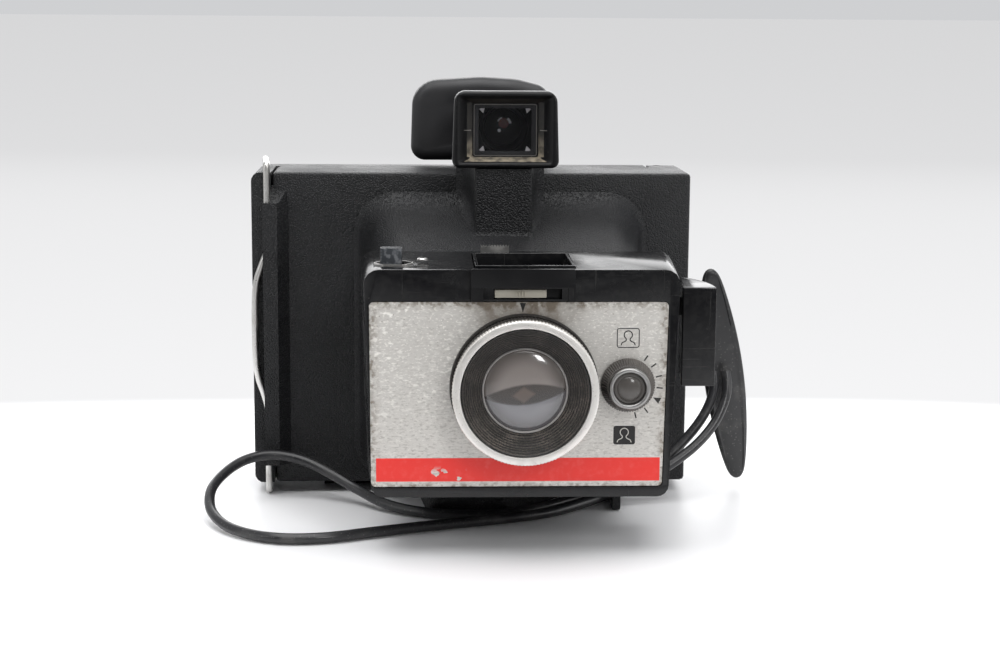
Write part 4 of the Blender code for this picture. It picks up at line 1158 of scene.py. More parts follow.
@dataclass
class FilmBody:
    """Film housing with its catch ridge, and the hinged back door with its wire bail."""

    edge: float = 0.0005
    ridge_top: float = 0.1215
    ramp_height: float = 0.0072
    ramp_left: float = -0.0826
    ramp_right: float = -0.0745
    ramp_slant: float = 0.0044
    ramp_sink: float = 0.0006
    face: float = 0.0338
    lip: float = 0.0292
    panel: tuple[float, float, float, float] = (-0.0730, 0.0600, 0.0170, 0.1215)
    panel_rise: float = 0.0009
    panel_round: float = 0.0040
    frame_width: float = 0.0022
    wire_radius: float = 0.0014
    wire_top: float = 0.1374
    wire_foot: float = 0.0017
    wire_bend: float = 0.0018
    wire_sides: tuple[float, float] = (-0.0835, -0.0841)
    leg_ends: tuple[float, float] = (0.1262, 0.0105)
    nip: float = 0.0005
    pivot: tuple[float, float] = (-0.0860, 0.0620)
    wire_depth: float = 0.0313
    bow: tuple[tuple[float, float], ...] = (
        (-0.0835, 0.1240), (-0.0835, 0.1060), (-0.0840, 0.1015), (-0.0858, 0.0965),
        (-0.0877, 0.0910), (-0.0887, 0.0840), (-0.0890, 0.0700), (-0.0887, 0.0560),
        (-0.0877, 0.0490), (-0.0858, 0.0430), (-0.0844, 0.0375), (-0.0841, 0.0330),
        (-0.0841, 0.0150))

    def bail(self) -> None:
        """Sweep the bail: pivot legs, level arms at top and foot, and a front leg with its bow."""
        x, y = self.pivot
        bend, depth, nip = self.wire_bend, self.wire_depth, self.nip
        top, foot, middle = self.wire_top, self.wire_foot, (y + depth) / 2.0
        upper, lower = self.wire_sides
        route = [(x, y, self.leg_ends[0]), (x, y, top - bend), (x, y - nip, top - nip),
                 (x, y - bend, top), (-0.0848, middle, top), (-0.0836, depth + bend, top),
                 (upper, depth + nip, top - nip), (upper, depth, top - bend)]
        route += [(across, depth, level) for across, level in self.bow]
        route += [(lower, depth, foot + bend), (lower, depth + nip, foot + nip),
                  (lower, depth + bend, foot), (-0.0850, middle, foot), (x, y - bend, foot),
                  (x, y - nip, foot + nip), (x, y, foot + bend), (x, y, self.leg_ends[1])]
        path = smooth_through(np.array(route), 300)
        wire = swept(path, lambda share, angle: self.wire_radius + 0.0 * share * angle, 20,
                     (1.0, 0.0, 0.0))
        piece("bail_wire", [wire], Finish.STEEL, "latch_bail_body", ["latch_bail"], 50.0)

    def catch_ramp(self) -> None:
        """Ramp above the catch ridge: its front runs back to the face as the sine of height."""
        rows = []
        for share in np.linspace(0.0, 1.0, 14):
            front = self.lip + (self.face - self.lip) * math.sin(share * math.pi / 2.0)
            corners = np.array([(self.ramp_left, front),
                                (self.ramp_right - self.ramp_slant * (1 - share), front),
                                (self.ramp_right, self.face + self.ramp_sink),
                                (self.ramp_left, self.face + self.ramp_sink)])
            radii = np.array([0.0002, 0.0016, 0.0002, 0.0002])
            rows.append(in_space(outline(corners, radii * (1.05 - share), 0.0, 6),
                                 self.ridge_top + self.ramp_height * share, "Z"))
        piece("catch_ramp", [Grid(np.stack(rows))], Finish.PEBBLED, "root",
              crease=60.0)

    def door_panel(self) -> None:
        """Raised smooth panel and its rim on the back door, each a prism with rounded rims."""
        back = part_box("back_door")[1].y
        radii = np.full(4, self.panel_round)
        inner = oblong(*self.panel)
        grow = self.frame_width
        outer = oblong(self.panel[0] - grow, self.panel[1] + grow, self.panel[2] - grow,
                       self.panel[3] + grow)
        smooth = prism(inner, inner, (back + self.panel_rise * 0.5, back - 0.0004), radii,
                       (0.0004, 0.0), arc=8)
        piece("door_panel", [smooth], Finish.PANEL, "back_door_body")
        loops = []
        for inset, depth in ((0.0, back - 0.0004), (0.0, back + self.panel_rise * 0.6),
                             (grow * 0.15, back + self.panel_rise),
                             (grow * 0.75, back + self.panel_rise),
                             (grow * 0.9, back + self.panel_rise * 0.6),
                             (grow * 0.9, back - 0.0004)):
            loops.append(in_space(outline(outer, radii + grow, inset, 8), depth))
        piece("door_panel_rim", [Grid(np.stack(loops), along=True)], Finish.PEBBLED_EDGE,
              "back_door_body")

    def build(self) -> None:
        """Make the body, the door and the bail."""
        refined("body_shell", Finish.PEBBLED, self.edge, Finish.PEBBLED_EDGE)
        self.catch_ramp()
        refined("back_door", Finish.PEBBLED, self.edge, Finish.PEBBLED_EDGE)
        self.door_panel()
        refined("hinge_pin", Finish.STEEL, 0.0)
        self.bail()


@dataclass
class LensCone:
    """Light-tight cone, with the finder column, belly foot and strap loop grown from it."""

    belly_rows: tuple[tuple[float, ...], ...] = (
        (-0.0150, 0.0120, 0.0060, 0.0212, -0.0076), (-0.0170, 0.0140, 0.0016, 0.0206, -0.0056),
        (-0.0185, 0.0155, 0.0000, 0.0200, -0.0034), (-0.0220, 0.0400, 0.0000, 0.0106, 0.0280))
    front: tuple[float, float, float, float] = (-0.0330, 0.0620, 0.0240, 0.1050)
    back: tuple[float, float, float, float] = (-0.0450, 0.0685, 0.0080, 0.1230)
    front_radius: float = 0.0100
    back_radius: float = 0.0140
    depths: tuple[float, float] = (-0.0177, 0.0331)
    wall: float = 0.0022
    flare: float = 0.0034
    column_front: tuple[float, float, float] = (0.0003, 0.0227, 0.0020)
    column_back: tuple[float, float, float] = (-0.0065, 0.0295, 0.0331)
    column_foot: float = 0.1085
    column_top: float = 0.1382
    fillet: float = 0.0055

    def cone(self) -> Grid:
        """Skin of the cone, a loop of rows down the outside and back up the inside.

        The outline grows evenly from front to back, and over the last fifth its outside
        flares by flare * (1 - sqrt(1 - u * u)), a quarter circle into the body's face.
        """
        near, far = oblong(*self.front), oblong(*self.back)
        rows = []
        outside = np.concatenate([np.linspace(0.0, 0.8, 9), np.linspace(0.83, 1.0, 10)])
        for share in outside:
            u = min(max((share - 0.80) / 0.20, 0.0), 1.0)
            grown = -self.flare * (1.0 - math.sqrt(1.0 - u * u))
            rows.append((share, grown))
        rows += [(share, self.wall) for share in np.linspace(1.0, 0.0, 6)]
        made = []
        for share, inset in rows:
            corners = near * (1.0 - share) + far * share
            radius = self.front_radius * (1.0 - share) + self.back_radius * share
            flat = outline(corners, np.full(4, radius), inset, 12)
            made.append(in_space(flat, self.depths[0] + (self.depths[1] - self.depths[0]) * share))
        return Grid(np.stack(made), along=True)

    def column(self) -> Grid:
        """Finder column: one plan outline, spread by a fillet where it meets the cone's top.

        From front to rear the sides run straight, then curve out by
        spread * (1 - sqrt(1 - u * u)). At height h above the cone's top, which rises
        evenly to the rear, the plan grows by 0.9 * reach * (1 - sqrt(1 - v * v)), with
        v = 1 - h / reach and a reach that grows from a fifth of the fillet at the front.
        """
        left, right, front = self.column_front
        far_left, far_right, rear = self.column_back
        along = np.concatenate([np.linspace(front + 0.0006, front + 0.010, 5),
                                np.linspace(front + 0.0110, rear, 18)])
        u = np.clip((along - front - 0.010) / (rear - front - 0.010), 0.0, 1.0)
        spread = 1.0 - np.sqrt(1.0 - u * u)
        right_side = np.stack([right + (far_right - right) * spread, along], -1)
        left_side = np.stack([left + (far_left - left) * spread, along], -1)[::-1]
        across = np.linspace(left + 0.0006, right - 0.0006, 12)
        front_side = np.stack([across, np.full(12, front)], -1)
        plan = np.concatenate([front_side, right_side, left_side])
        tangent = np.roll(plan, -1, 0) - np.roll(plan, 1, 0)
        normal = np.stack([tangent[:, 1], -tangent[:, 0]], -1)
        normal /= np.linalg.norm(normal, axis=1, keepdims=True)
        normal[plan[:, 1] >= rear - 1e-6] *= (1.0, 0.0)
        slope = (self.back[3] - self.front[3]) / (self.depths[1] - self.depths[0])
        base = self.front[3] + (plan[:, 1] - self.depths[0]) * slope
        levels = np.concatenate([np.linspace(self.column_foot, 0.1340, 40), [self.column_top]])
        reach = self.fillet * (0.2 + 0.8 * np.clip((plan[:, 1] - front) / 0.012, 0.0, 1.0))[None, :]
        v = np.clip(1.0 - (levels[:, None] - base[None, :]) / reach, 0.0, 1.0)
        grown = reach * 0.9 * (1.0 - np.sqrt(1.0 - v * v))
        points = plan[None] + normal[None] * grown[..., None]
        return Grid(in_space(points, np.broadcast_to(levels[:, None], grown.shape), "Z"))

    def belly(self) -> Grid:
        """Foot under the cone, lofted through four oblongs with rounded corners."""
        radii = np.full(4, 0.0012)
        return Grid(np.stack([in_space(outline(oblong(*sides), radii, 0.0, 5), depth)
                              for *sides, depth in self.belly_rows]))

    def strap_loop(self) -> Grid:
        """Loop that the strap runs through: an oblong frame, a loop of four rows."""
        outer = outline(oblong(0.0000, 0.0222, 0.0004, 0.0200), np.full(4, 0.0020), 0.0, 6)
        inner = outline(oblong(0.0022, 0.0198, 0.0026, 0.0112), np.full(4, 0.0015), 0.0, 6)
        rows = [in_space(flat, depth, "X") for flat, depth in
                ((outer, 0.0565), (outer, 0.0595), (inner, 0.0595), (inner, 0.0565))]
        return Grid(np.stack(rows), along=True)

    def build(self) -> None:
        """Make the cone as one piece."""
        piece("cone_shell", [self.cone(), self.column(), self.belly(), self.strap_loop()],
              Finish.PEBBLED, "root", ["lens_cone"], 50.0)


# ---------------------------------------------------------------- front housing


@dataclass
class FrontHousing:
    """Shutter housing with its face plate, printed marks and small fittings."""

    edge: float = 0.0006
    plate_front: float = -0.0641
    print_rise: float = 0.00004
    line: float = 0.00034
    tick: float = 0.00050
    eye_rim: tuple[float, float] = (0.0107, 0.0130)
    tick_angles: tuple[float, ...] = (56.0, 37.0, 15.0, -6.0, -54.0, -75.0)
    pointer_angle: float = -27.0
    box_size: tuple[float, float] = (0.0080, 0.0070)
    clear_box: tuple[float, float] = (0.05415, 0.0823)
    solid_box: tuple[float, float] = (0.0533, 0.0461)
    lever_corner: tuple[float, float] = (0.0750, -0.0605)
    lever_size: tuple[float, float] = (0.0118, 0.0285)
    lever_lean: float = 0.0006
    stem: tuple[float, float, float, float] = (0.0690, 0.0795, -0.0470, -0.0430)
    stem_levels: tuple[float, float] = (0.0880, 0.0950)
    pointer: tuple[float, float, float] = (0.0106, 0.0134, 0.0012)
    index: tuple[float, float, float] = (0.0011, 0.0952, 0.0916)
    release_slot: tuple[tuple[float, float], ...] = (
        (-0.0388, -0.0498), (-0.0350, -0.0543), (-0.0272, -0.0543), (-0.0237, -0.0498),
        (-0.0272, -0.0447), (-0.0350, -0.0447))

    def depths(self, level: int = 1) -> tuple[float, float]:
        """Depths of a printed layer, proud of the plate by its level times print_rise."""
        return (self.plate_front - self.print_rise * level, self.plate_front + 0.00005)

    def bust(self, centre: tuple[float, float]) -> Array:
        """Line of a plain bust: shoulder, neck, an arc of 290 degrees for the head, and back."""
        side = np.array([(-0.0026, -0.0027), (-0.0022, -0.0018), (-0.0012, -0.0013),
                         (-0.0007, -0.0008), (-0.0008, -0.0002)])
        head = arc_points((0.0, 0.0011), 0.0015, 235.0, -55.0, 19)
        line = np.concatenate([side, head, side[::-1] * (-1.0, 1.0)])
        return smooth_through(line, 90) + centre

    def marks(self) -> None:
        """Print the two bust signs, the ticks round the eye, its pointer and the top index."""
        wide, high = self.box_size[0] / 2.0, self.box_size[1] / 2.0
        ink, pale = [], []
        for centre, solid in ((self.clear_box, False), (self.solid_box, True)):
            corners = oblong(centre[0] - wide, centre[0] + wide, centre[1] - high, centre[1] + high)
            edge = outline(corners, np.full(4, 0.0008), 0.0, 6)
            if solid:
                ink.append(slab(edge, self.depths()))
                pale.append(ribbon(self.bust(centre), self.line, self.depths(2)))
            else:
                ink.append(ribbon(edge, self.line, self.depths(), closed=True))
                ink.append(ribbon(self.bust(centre), self.line * 1.2, self.depths()))
        eye = np.array(middle_of("electric_eye_lens"))[[0, 2]]
        for angle in self.tick_angles:
            out = heading(angle)
            ends = np.stack([eye + out * radius for radius in self.eye_rim])
            ink.append(ribbon(ends, self.tick, self.depths()))
        out = heading(self.pointer_angle)
        side = np.array((-out[1], out[0]))
        middle_top = middle_of("flash_bezel")[0]
        tip, rear, spread = self.pointer
        half, high, low = self.index
        signs = [np.stack([eye + out * tip, eye + out * rear + side * spread,
                           eye + out * rear - side * spread]),
                 np.array([(middle_top - half, high), (middle_top + half, high),
                           (middle_top, low)])]
        ink += [slab(sign, self.depths()) for sign in signs]
        piece("plate_marks", ink, Finish.INK, "root")
        piece("plate_marks_pale", pale, Finish.PALE_INK, "root")

    def slot_rim(self) -> None:
        """Polished rim round the release slot, a ribbon on the housing's sloping top."""
        loop = outline(np.array(self.release_slot), np.full(6, 0.0022), 0.0, 5)
        rim = ribbon(loop, 0.0006, (0.1072, 0.1080), "Z", True)
        rim.points[..., 2] += (rim.points[..., 1] + 0.0500) * 0.0194
        piece("release_slot_rim", [rim], Finish.STEEL, "root")

    def lever(self) -> None:
        """Cocking lever: a quarter-oval plan with rounded rims, and its stem.

        The plan runs along the front, round the oval (across * cos a, deep * sin a), and
        back along a straight side that leans away from the housing.
        """
        left, front = self.lever_corner
        across, deep = self.lever_size
        angle = np.radians(np.arange(0.0, 76.0, 7.5))
        oval = np.stack([left + across * np.cos(angle), front + deep * np.sin(angle)], -1)
        plan = np.concatenate([[(left - self.lever_lean, front)], oval,
                               [(left + across * 0.18, front + deep)]])
        radii = np.full(len(plan), 0.0015)
        radii[[0, 1, -1]] = 0.0004
        low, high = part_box("cocking_lever")
        block = prism(plan, plan, (low.z, high.z), radii, (0.0005, 0.0005), "Z", 4)
        stem = oblong(*self.stem)
        rod = prism(stem, stem, self.stem_levels, np.full(4, 0.0004), (0.0002, 0.0002), "Z", 4)
        piece("lever_block", [block, rod], Finish.HOUSING, "cocking_lever_body",
              ["cocking_lever"], 50.0)

    def build(self) -> None:
        """Make the housing, its plate and marks."""
        refined("front_housing", Finish.HOUSING, self.edge, Finish.POLISHED_EDGE, 3)
        refined("housing_back", Finish.MATT, 0.0002)
        refined("face_plate", Finish.PLATE, 0.0)
        self.marks()
        self.slot_rim()
        refined("shutter_release", Finish.SCUFFED_TAB, 0.0004, Finish.POLISHED_EDGE)
        refined("release_eyelet", Finish.STEEL, 0.0)
        self.lever()
        refined("battery_door", Finish.POLISHED, 0.0003)


@dataclass
class FlashWell:
    """Flash-cube well with its bezel, socket, contacts, ejector and film-speed slider."""

    teeth: int = 10
    tooth: float = 0.0009
    ejector: tuple[float, float, float, float] = (0.0018, 0.0126, 0.0980, 0.1112)
    ejector_depths: tuple[float, float] = (-0.0218, -0.0204)
    foot: tuple[float, float, float] = (0.0040, 0.0100, 0.0940)
    slider_depths: tuple[float, float] = (-0.0640, -0.0616)
    rib_depths: tuple[float, float] = (-0.0647, -0.0636)
    rib_places: tuple[float, float, int] = (0.0132, 0.0164, 4)

    def ejector_plate(self) -> None:
        """Serrated ejector: an outline whose top is a triangle wave of teeth."""
        left, right, low, high = self.ejector
        across = np.linspace(right, left, self.teeth * 2 + 1)
        wave = high - self.tooth * (np.arange(self.teeth * 2 + 1) % 2)
        top = np.stack([across, wave], -1)
        base = np.array([(left, low), (self.foot[0], low), (self.foot[0], self.foot[2]),
                         (self.foot[1], self.foot[2]), (self.foot[1], low), (right, low)])
        plate = slab(np.concatenate([base, top]), self.ejector_depths)
        piece("ejector_plate", [plate], Finish.STEEL, "flash_ejector_body", ["flash_ejector"])

    def slider(self) -> None:
        """Film-speed slider: a rounded bar with a ribbed grip."""
        low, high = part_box("film_speed_slider")
        bar = oblong(low.x, high.x, low.z, high.z)
        grids = [prism(bar, bar, self.slider_depths, np.full(4, 0.0003), (0.0002, 0.0001))]
        for place in np.linspace(*self.rib_places):
            rib = oblong(place - 0.0002, place + 0.0002, low.z + 0.0007, high.z - 0.0007)
            grids.append(prism(rib, rib, self.rib_depths, np.full(4, 0.00015), (0.0001, 0.0)))
        piece("speed_slider", grids, Finish.CREAM, "film_speed_slider_body",
              ["film_speed_slider"])

    def build(self) -> None:
        """Make the well and what is in it."""
        refined("flash_well", Finish.HOUSING, 0.0003, Finish.POLISHED_EDGE)
        refined("flash_bezel", Finish.RIM_BLACK, 0.0006, Finish.POLISHED_EDGE, 3)
        refined("flash_socket", Finish.MATT, 0.0002)
        for side in ("left", "right"):
            refined("flash_contact_" + side, Finish.BRASS, 0.0001)
        self.ejector_plate()
        self.slider()


# ---------------------------------------------------------------- lens and eye


@dataclass
class FocusingLens:
    """Lens: base ring, ribbed focusing ring with its silver trim, and glasses."""

    ribs: int = 132
    rib: float = 0.00012
    grooves: int = 11
    groove: float = 0.00026
    cone_rim: tuple[float, float] = (0.0229, 0.0767)
    cone_root: tuple[float, float] = (0.0160, 0.0713)
    dome_radius: float = 0.0153
    dome_rise: float = 0.0036
    dome_base: float = 0.0702
    dome_back: float = 0.0672

    def rings(self, centre: tuple[float, float]) -> None:
        """Turn the trim ring, the focusing ring and the base ring."""
        trim = np.array([(0.0235, 0.0743), (0.0264, 0.0743), (0.0265, 0.0746), (0.0265, 0.0767),
                         (0.0263, 0.0772), (0.0258, 0.0775), (0.0241, 0.0775), (0.0237, 0.0774),
                         (0.0235, 0.0771)])
        ripple = np.where(trim[:, 0] > 0.02635, self.rib, 0.0)
        piece("trim_ring", [turned(trim, centre, self.ribs * 6, ripple, self.ribs)], Finish.SILVER,
              "focus_ring_body", ["focus_trim_ring"], 40.0)
        t = np.linspace(0.0, 1.0, self.grooves * 6 + 1)
        dip = self.groove * (0.5 - 0.5 * np.cos(2.0 * math.pi * self.grooves * t))
        flank = np.stack([self.cone_rim[0] + (self.cone_root[0] - self.cone_rim[0]) * t,
                          self.cone_rim[1] + (self.cone_root[1] - self.cone_rim[1]) * t - dip], -1)
        ring = np.concatenate([
            [(0.0172, 0.0550), (0.0172, 0.0668), (0.0258, 0.0668), (0.0262, 0.0672),
             (0.0262, 0.0738), (0.0260, 0.0740), (0.0231, 0.0740), (0.0231, 0.0768)], flank,
            [(0.0157, 0.0712), (0.0157, 0.0700), (0.0160, 0.0550)]])
        ripple = np.where(ring[:, 0] > 0.0261, self.rib, 0.0)
        piece("focusing_ring", [turned(ring, centre, self.ribs * 4, ripple, self.ribs)],
              Finish.LENS_BLACK, "focus_ring_body", ["focus_ring"], 40.0)
        base = np.array([(0.0212, 0.0645), (0.0272, 0.0645), (0.0272, 0.0657), (0.0269, 0.0662),
                         (0.0212, 0.0662)])
        piece("base_ring", [turned(base, centre, 160)], Finish.LENS_BLACK, "root",
              ["lens_base_ring"], 40.0)

    def glasses(self, centre: tuple[float, float]) -> None:
        """Turn the domed front glass with the view through it painted on, its lip in pale grey as a
        painted highlight, and the inner glass.
        """
        angle = np.linspace(0.0, math.pi / 2.0, 22)
        dome = np.stack([self.dome_radius * np.cos(angle),
                         self.dome_base + self.dome_rise * np.sin(angle)], -1)
        front = np.concatenate([[(0.0, self.dome_back), (self.dome_radius - 0.0003, self.dome_back),
                                 (self.dome_radius, 0.0675)], dome])
        front[-1, 0] = 0.0
        # An opaque dome with the view through the glass painted on: painted reflections and painted
        # shade.
        piece("front_glass", [turned(front, centre, 96, closed=False)], Finish.LENS_VIEW,
              "focus_ring_body", ["front_lens"], 40.0)
        # The lip is pale grey: a painted highlight round the edge of the glass.
        lip = np.array([(0.0148, 0.0701), (0.01565, 0.0701), (0.01565, 0.0716), (0.0153, 0.0719),
                        (0.0150, 0.0716)])
        piece("glass_lip", [turned(lip, centre, 120)], Finish.LIP, "focus_ring_body",
              crease=60.0)
        rear = np.array([(0.0, 0.0480), (0.0100, 0.0480), (0.0118, 0.0500), (0.0118, 0.0515),
                         (0.0090, 0.0530), (0.0045, 0.0535), (0.0, 0.0536)])
        piece("rear_glass", [turned(rear, centre, 64, closed=False)], Finish.GLASS,
              "lens_carriage_body", ["rear_lens"])

    def build(self) -> None:
        """Make the lens."""
        centre = np.array(middle_of("front_lens"))[[0, 2]]
        self.rings(centre)
        self.glasses(centre)
        refined("lens_tube", Finish.MATT, 0.0002)
        refined("lens_carriage", Finish.MATT, 0.0002)


@dataclass
class ElectricEye:
    """Knurled exposure knob with its bright ring and the domed eye in it."""

    knurls: int = 64
    knurl: float = 0.00016
    flank_rim: tuple[float, float] = (0.0098, 0.0657)
    flank_tip: tuple[float, float] = (0.0082, 0.0699)

    def build(self) -> None:
        """Turn the knob, the ring and the dome."""
        centre = np.array(middle_of("electric_eye_lens"))[[0, 2]]
        t = np.linspace(0.0, 1.0, 9)
        flank = np.stack([a + (b - a) * t for a, b in zip(self.flank_rim, self.flank_tip)], -1)
        knob = np.concatenate([[(0.0046, 0.0606), (0.0059, 0.0606), (0.0059, 0.0644),
                                (0.0097, 0.0644), (0.0099, 0.0648), (0.0099, 0.0655)], flank,
                               [(0.0079, 0.0703), (0.0076, 0.0704), (0.0046, 0.0704)]])
        ripple = np.where((knob[:, 0] > 0.0081) & (knob[:, 1] > 0.0650), self.knurl, 0.0)
        piece("eye_knob", [turned(knob, centre, self.knurls * 8, ripple, self.knurls)],
              Finish.KNOB, "exposure_knob_body", ["exposure_knob"], 50.0)
        ring = np.array([(0.0059, 0.0707), (0.0075, 0.0707), (0.0076, 0.0710), (0.0076, 0.0721),
                         (0.0073, 0.0726), (0.0067, 0.0728), (0.0061, 0.0725), (0.0059, 0.0719)])
        piece("eye_ring", [turned(ring, centre, 96)], Finish.EYE_RING, "exposure_knob_body",
              ["exposure_knob_ring"], 60.0)
        dome = np.array([(0.0, 0.0707), (0.0057, 0.0707), (0.0057, 0.0711), (0.0050, 0.0713),
                         (0.0046, 0.0712), (0.0044, 0.0714), (0.0036, 0.0720), (0.0020, 0.0725),
                         (0.0, 0.0727)])
        piece("eye_dome", [turned(dome, centre, 72, closed=False)], Finish.EYE_DOME,
              "exposure_knob_body", ["electric_eye_lens"], 50.0)
        refined("photocell", Finish.COPPER, 0.0)


# ---------------------------------------------------------------- viewfinder


@dataclass
class Viewfinder:
    """Finder: tunnel, front frame with its bevel and glass, eyepiece and eyecup shield."""

    outer: tuple[tuple[float, float], ...] = ((-0.0088, 0.1386), (0.0332, 0.1386),
                                              (0.0322, 0.1685), (-0.0078, 0.1685))
    outer_radii: tuple[float, ...] = (0.0028, 0.0028, 0.0042, 0.0042)
    mouth: tuple[float, float, float, float] = (-0.0064, 0.0306, 0.1404, 0.1666)
    throat: tuple[float, float, float, float] = (-0.0010, 0.0254, 0.1424, 0.1640)
    depths: tuple[float, float] = (0.0005, 0.0100)
    throat_depth: float = 0.0062
    skin: float = 0.0004
    sight: tuple[float, float] = (0.0122, 0.1530)
    barrel: tuple[float, float] = (0.0200, 0.0560)
    barrel_radii: tuple[float, float] = (0.0094, 0.0061)
    tunnel_end: tuple[float, float, float, float] = (-0.0027, 0.0271, 0.1421, 0.1637)
    shield_corners: tuple[tuple[float, float], ...] = (
        (-0.0252, 0.1366), (0.0330, 0.1366), (0.0342, 0.1672), (0.0200, 0.1708),
        (0.0040, 0.1717), (-0.0242, 0.1697))
    shield_radii: tuple[float, ...] = (0.0060, 0.0032, 0.0070, 0.0300, 0.0500, 0.0110)
    shield_window: tuple[tuple[float, float], ...] = (
        (0.0030, 0.1455), (0.0214, 0.1455), (0.0214, 0.1604), (0.0165, 0.1607),
        (0.0080, 0.1607), (0.0030, 0.1604))
    shield_depths: tuple[float, float] = (0.0644, 0.0775)
    shield_round: float = 0.0045
    shield_wall: float = 0.0022
    pane_depths: tuple[float, float] = (0.0066, 0.0080)
    painted_glint_depths: tuple[float, float] = (0.0094, 0.0096)
    gleam_depths: tuple[float, float] = (0.0296, 0.0299)

    def shield(self) -> None:
        """Eyecup: its outline drawn in by a quarter circle at the front, hollow behind.

        A row at angle t lies at inset round * (1 - sin t) and depth round * (1 - cos t);
        the loop of rows runs back outside, forward inside, and through the eye's window.
        """
        corners, radii = np.array(self.shield_corners), np.array(self.shield_radii)
        window, small = np.array(self.shield_window), np.full(6, 0.0009)
        front, back = self.shield_depths
        full, wall = self.shield_round, self.shield_wall
        rows = [(corners, radii, full * (1.0 - math.sin(t)), front + full * (1.0 - math.cos(t)))
                for t in np.linspace(0.0, math.pi / 2.0, 10)]
        rows += [(corners, radii, inset, depth) for inset, depth in (
            (0.0, back - 0.0004), (0.0004, back), (wall - 0.0004, back), (wall, back - 0.0004),
            (wall, front + full), (wall + 0.0016, front + wall + 0.0006),
            (full + 0.0006, front + wall))]
        rows += [(window, small, 0.0, front + wall), (window, small, 0.0, front + 0.0002),
                 (window, small, -0.0002, front)]
        loops = [in_space(outline(c, r, inset, 9), depth) for c, r, inset, depth in rows]
        piece("eyecup", [Grid(np.stack(loops), along=True)], Finish.SHIELD, "root",
              ["eyecup_shield"], 50.0)

    def sight_barrel(self) -> None:
        """Sight barrel: an oblong plate with a round funnel through it, and in it a black disc of
        painted shade that carries a painted red reflection and painted white highlights.
        """
        count = 12
        angle = np.radians(225.0 + (np.arange(4 * count) - (count - 1) / 2.0) * 90.0 / count)
        ring = np.stack([np.cos(angle), np.sin(angle)], -1)
        middle = np.array(self.sight)
        plate = outline(oblong(*self.tunnel_end), np.full(4, 0.0010), 0.0, count)
        start, end = self.barrel
        wide, small = self.barrel_radii
        rows = [in_space(plate, start)]
        for radius, depth in ((wide + 0.0008, start), (wide + 0.0004, start - 0.0004),
                              (wide, start - 0.0002), (wide - 0.0004, start + 0.0010),
                              (small, end - 0.0012), (small, end), (small + 0.0012, end),
                              (small + 0.0012, end - 0.0020), (wide - 0.0002, start + 0.0020)):
            rows.append(in_space(middle + ring * radius, depth))
        rows.append(in_space(plate, start + 0.0014))
        piece("sight_barrel", [Grid(np.stack(rows), along=True)], Finish.RIM_BLACK, "root",
              crease=50.0)
        # A black disc where the eyepiece shows dark: painted shade.
        lens = np.array([(0.0, -0.0320), (0.0074, -0.0320), (0.0076, -0.0316), (0.0050, -0.0306),
                         (0.0, -0.0302)])
        piece("inner_lens", [turned(lens, self.sight, 64, closed=False)], Finish.RIM_BLACK, "root",
              crease=60.0)
        # A dark red disc on the black disc: a painted reflection.
        tint = turned(np.array([(0.0, -0.0302), (0.0021, -0.0302), (0.0021, -0.0299),
                                (0.0, -0.0299)]), (middle[0] + 0.0004, middle[1] + 0.0016), 40,
                      closed=False)
        piece("eyepiece_reflection", [tint], Finish.EYEPIECE, "root")
        # Two white arcs and a dot on the black disc: painted highlights.
        gleam = [ribbon(arc_points((middle[0] + 0.0004, middle[1] + 0.0012), radius, low, high, 12),
                        width, self.gleam_depths)
                 for radius, low, high, width in ((0.0026, 105.0, 155.0, 0.0006),
                                                  (0.0027, 5.0, 55.0, 0.0010))]
        spot = middle + (-0.0014, -0.0014)
        gleam.append(slab(spot + ring * 0.0007, self.gleam_depths))
        piece("finder_gleams", gleam, Finish.GLEAM, "root")

    def front_frame(self) -> None:
        """Front frame: a loop of outlines round its outside, back, throat and bevel."""
        corners, radii = np.array(self.outer), np.array(self.outer_radii)
        mouth, throat = oblong(*self.mouth), oblong(*self.throat)
        front, back = self.depths
        small = np.full(4, 0.0012)
        loops = [(corners, radii, 0.0010, front), (corners, radii, 0.0004, front + 0.0003),
                 (corners, radii, 0.0, front + 0.0010), (corners, radii, 0.0, back - 0.0005),
                 (corners, radii, 0.0005, back), (throat, small, 0.0, back),
                 (throat, small, 0.0, self.throat_depth), (mouth, small, 0.0003, front + 0.0005),
                 (mouth, small, -0.0002, front + 0.0001), (mouth, small, -0.0006, front)]
        rows = [in_space(outline(c, r, inset, 6), depth) for c, r, inset, depth in loops]
        piece("finder_frame", [Grid(np.stack(rows), along=True)], Finish.RIM_BLACK, "root",
              ["finder_front_frame"], 50.0)
        small = np.full(4, 0.0010)
        lining = [(mouth, self.skin, front + 0.0009), (throat, self.skin * 0.5, self.throat_depth),
                  (throat, 0.0, self.throat_depth + 0.0002), (mouth, 0.0, front + 0.0011)]
        rows = [in_space(outline(c, small, inset, 6), depth) for c, inset, depth in lining]
        piece("finder_bevel", [Grid(np.stack(rows), along=True)], Finish.DUSTY, "root",
              crease=50.0)

    def window(self) -> None:
        """Front glass, its frame line with side marks, and pale triangles in its corners that are
        painted glints.
        """
        left, right, low, high = self.throat
        pane = oblong(left + 0.0003, right - 0.0003, low + 0.0003, high - 0.0003)
        glass = prism(pane, pane, self.pane_depths, np.full(4, 0.0008), (0.0002, 0.0002))
        piece("finder_glass", [glass], Finish.FINDER_GLASS, "root", ["finder_front_lens"])
        lines = [ribbon(outline(oblong(left + 0.0009, right - 0.0009, low + 0.0008, high - 0.0008),
                                np.full(4, 0.0006), 0.0, 4), 0.00022, (0.0062, 0.0065),
                        closed=True)]
        middle = (low + high) / 2.0
        for start, end in ((left - 0.0034, left - 0.0004), (right + 0.0004, right + 0.0034)):
            lines.append(ribbon(np.array([(start, middle), (end, middle)]), 0.00025,
                                (0.0030, 0.0060)))
        piece("finder_lines", lines, Finish.LINE_GREY, "root")
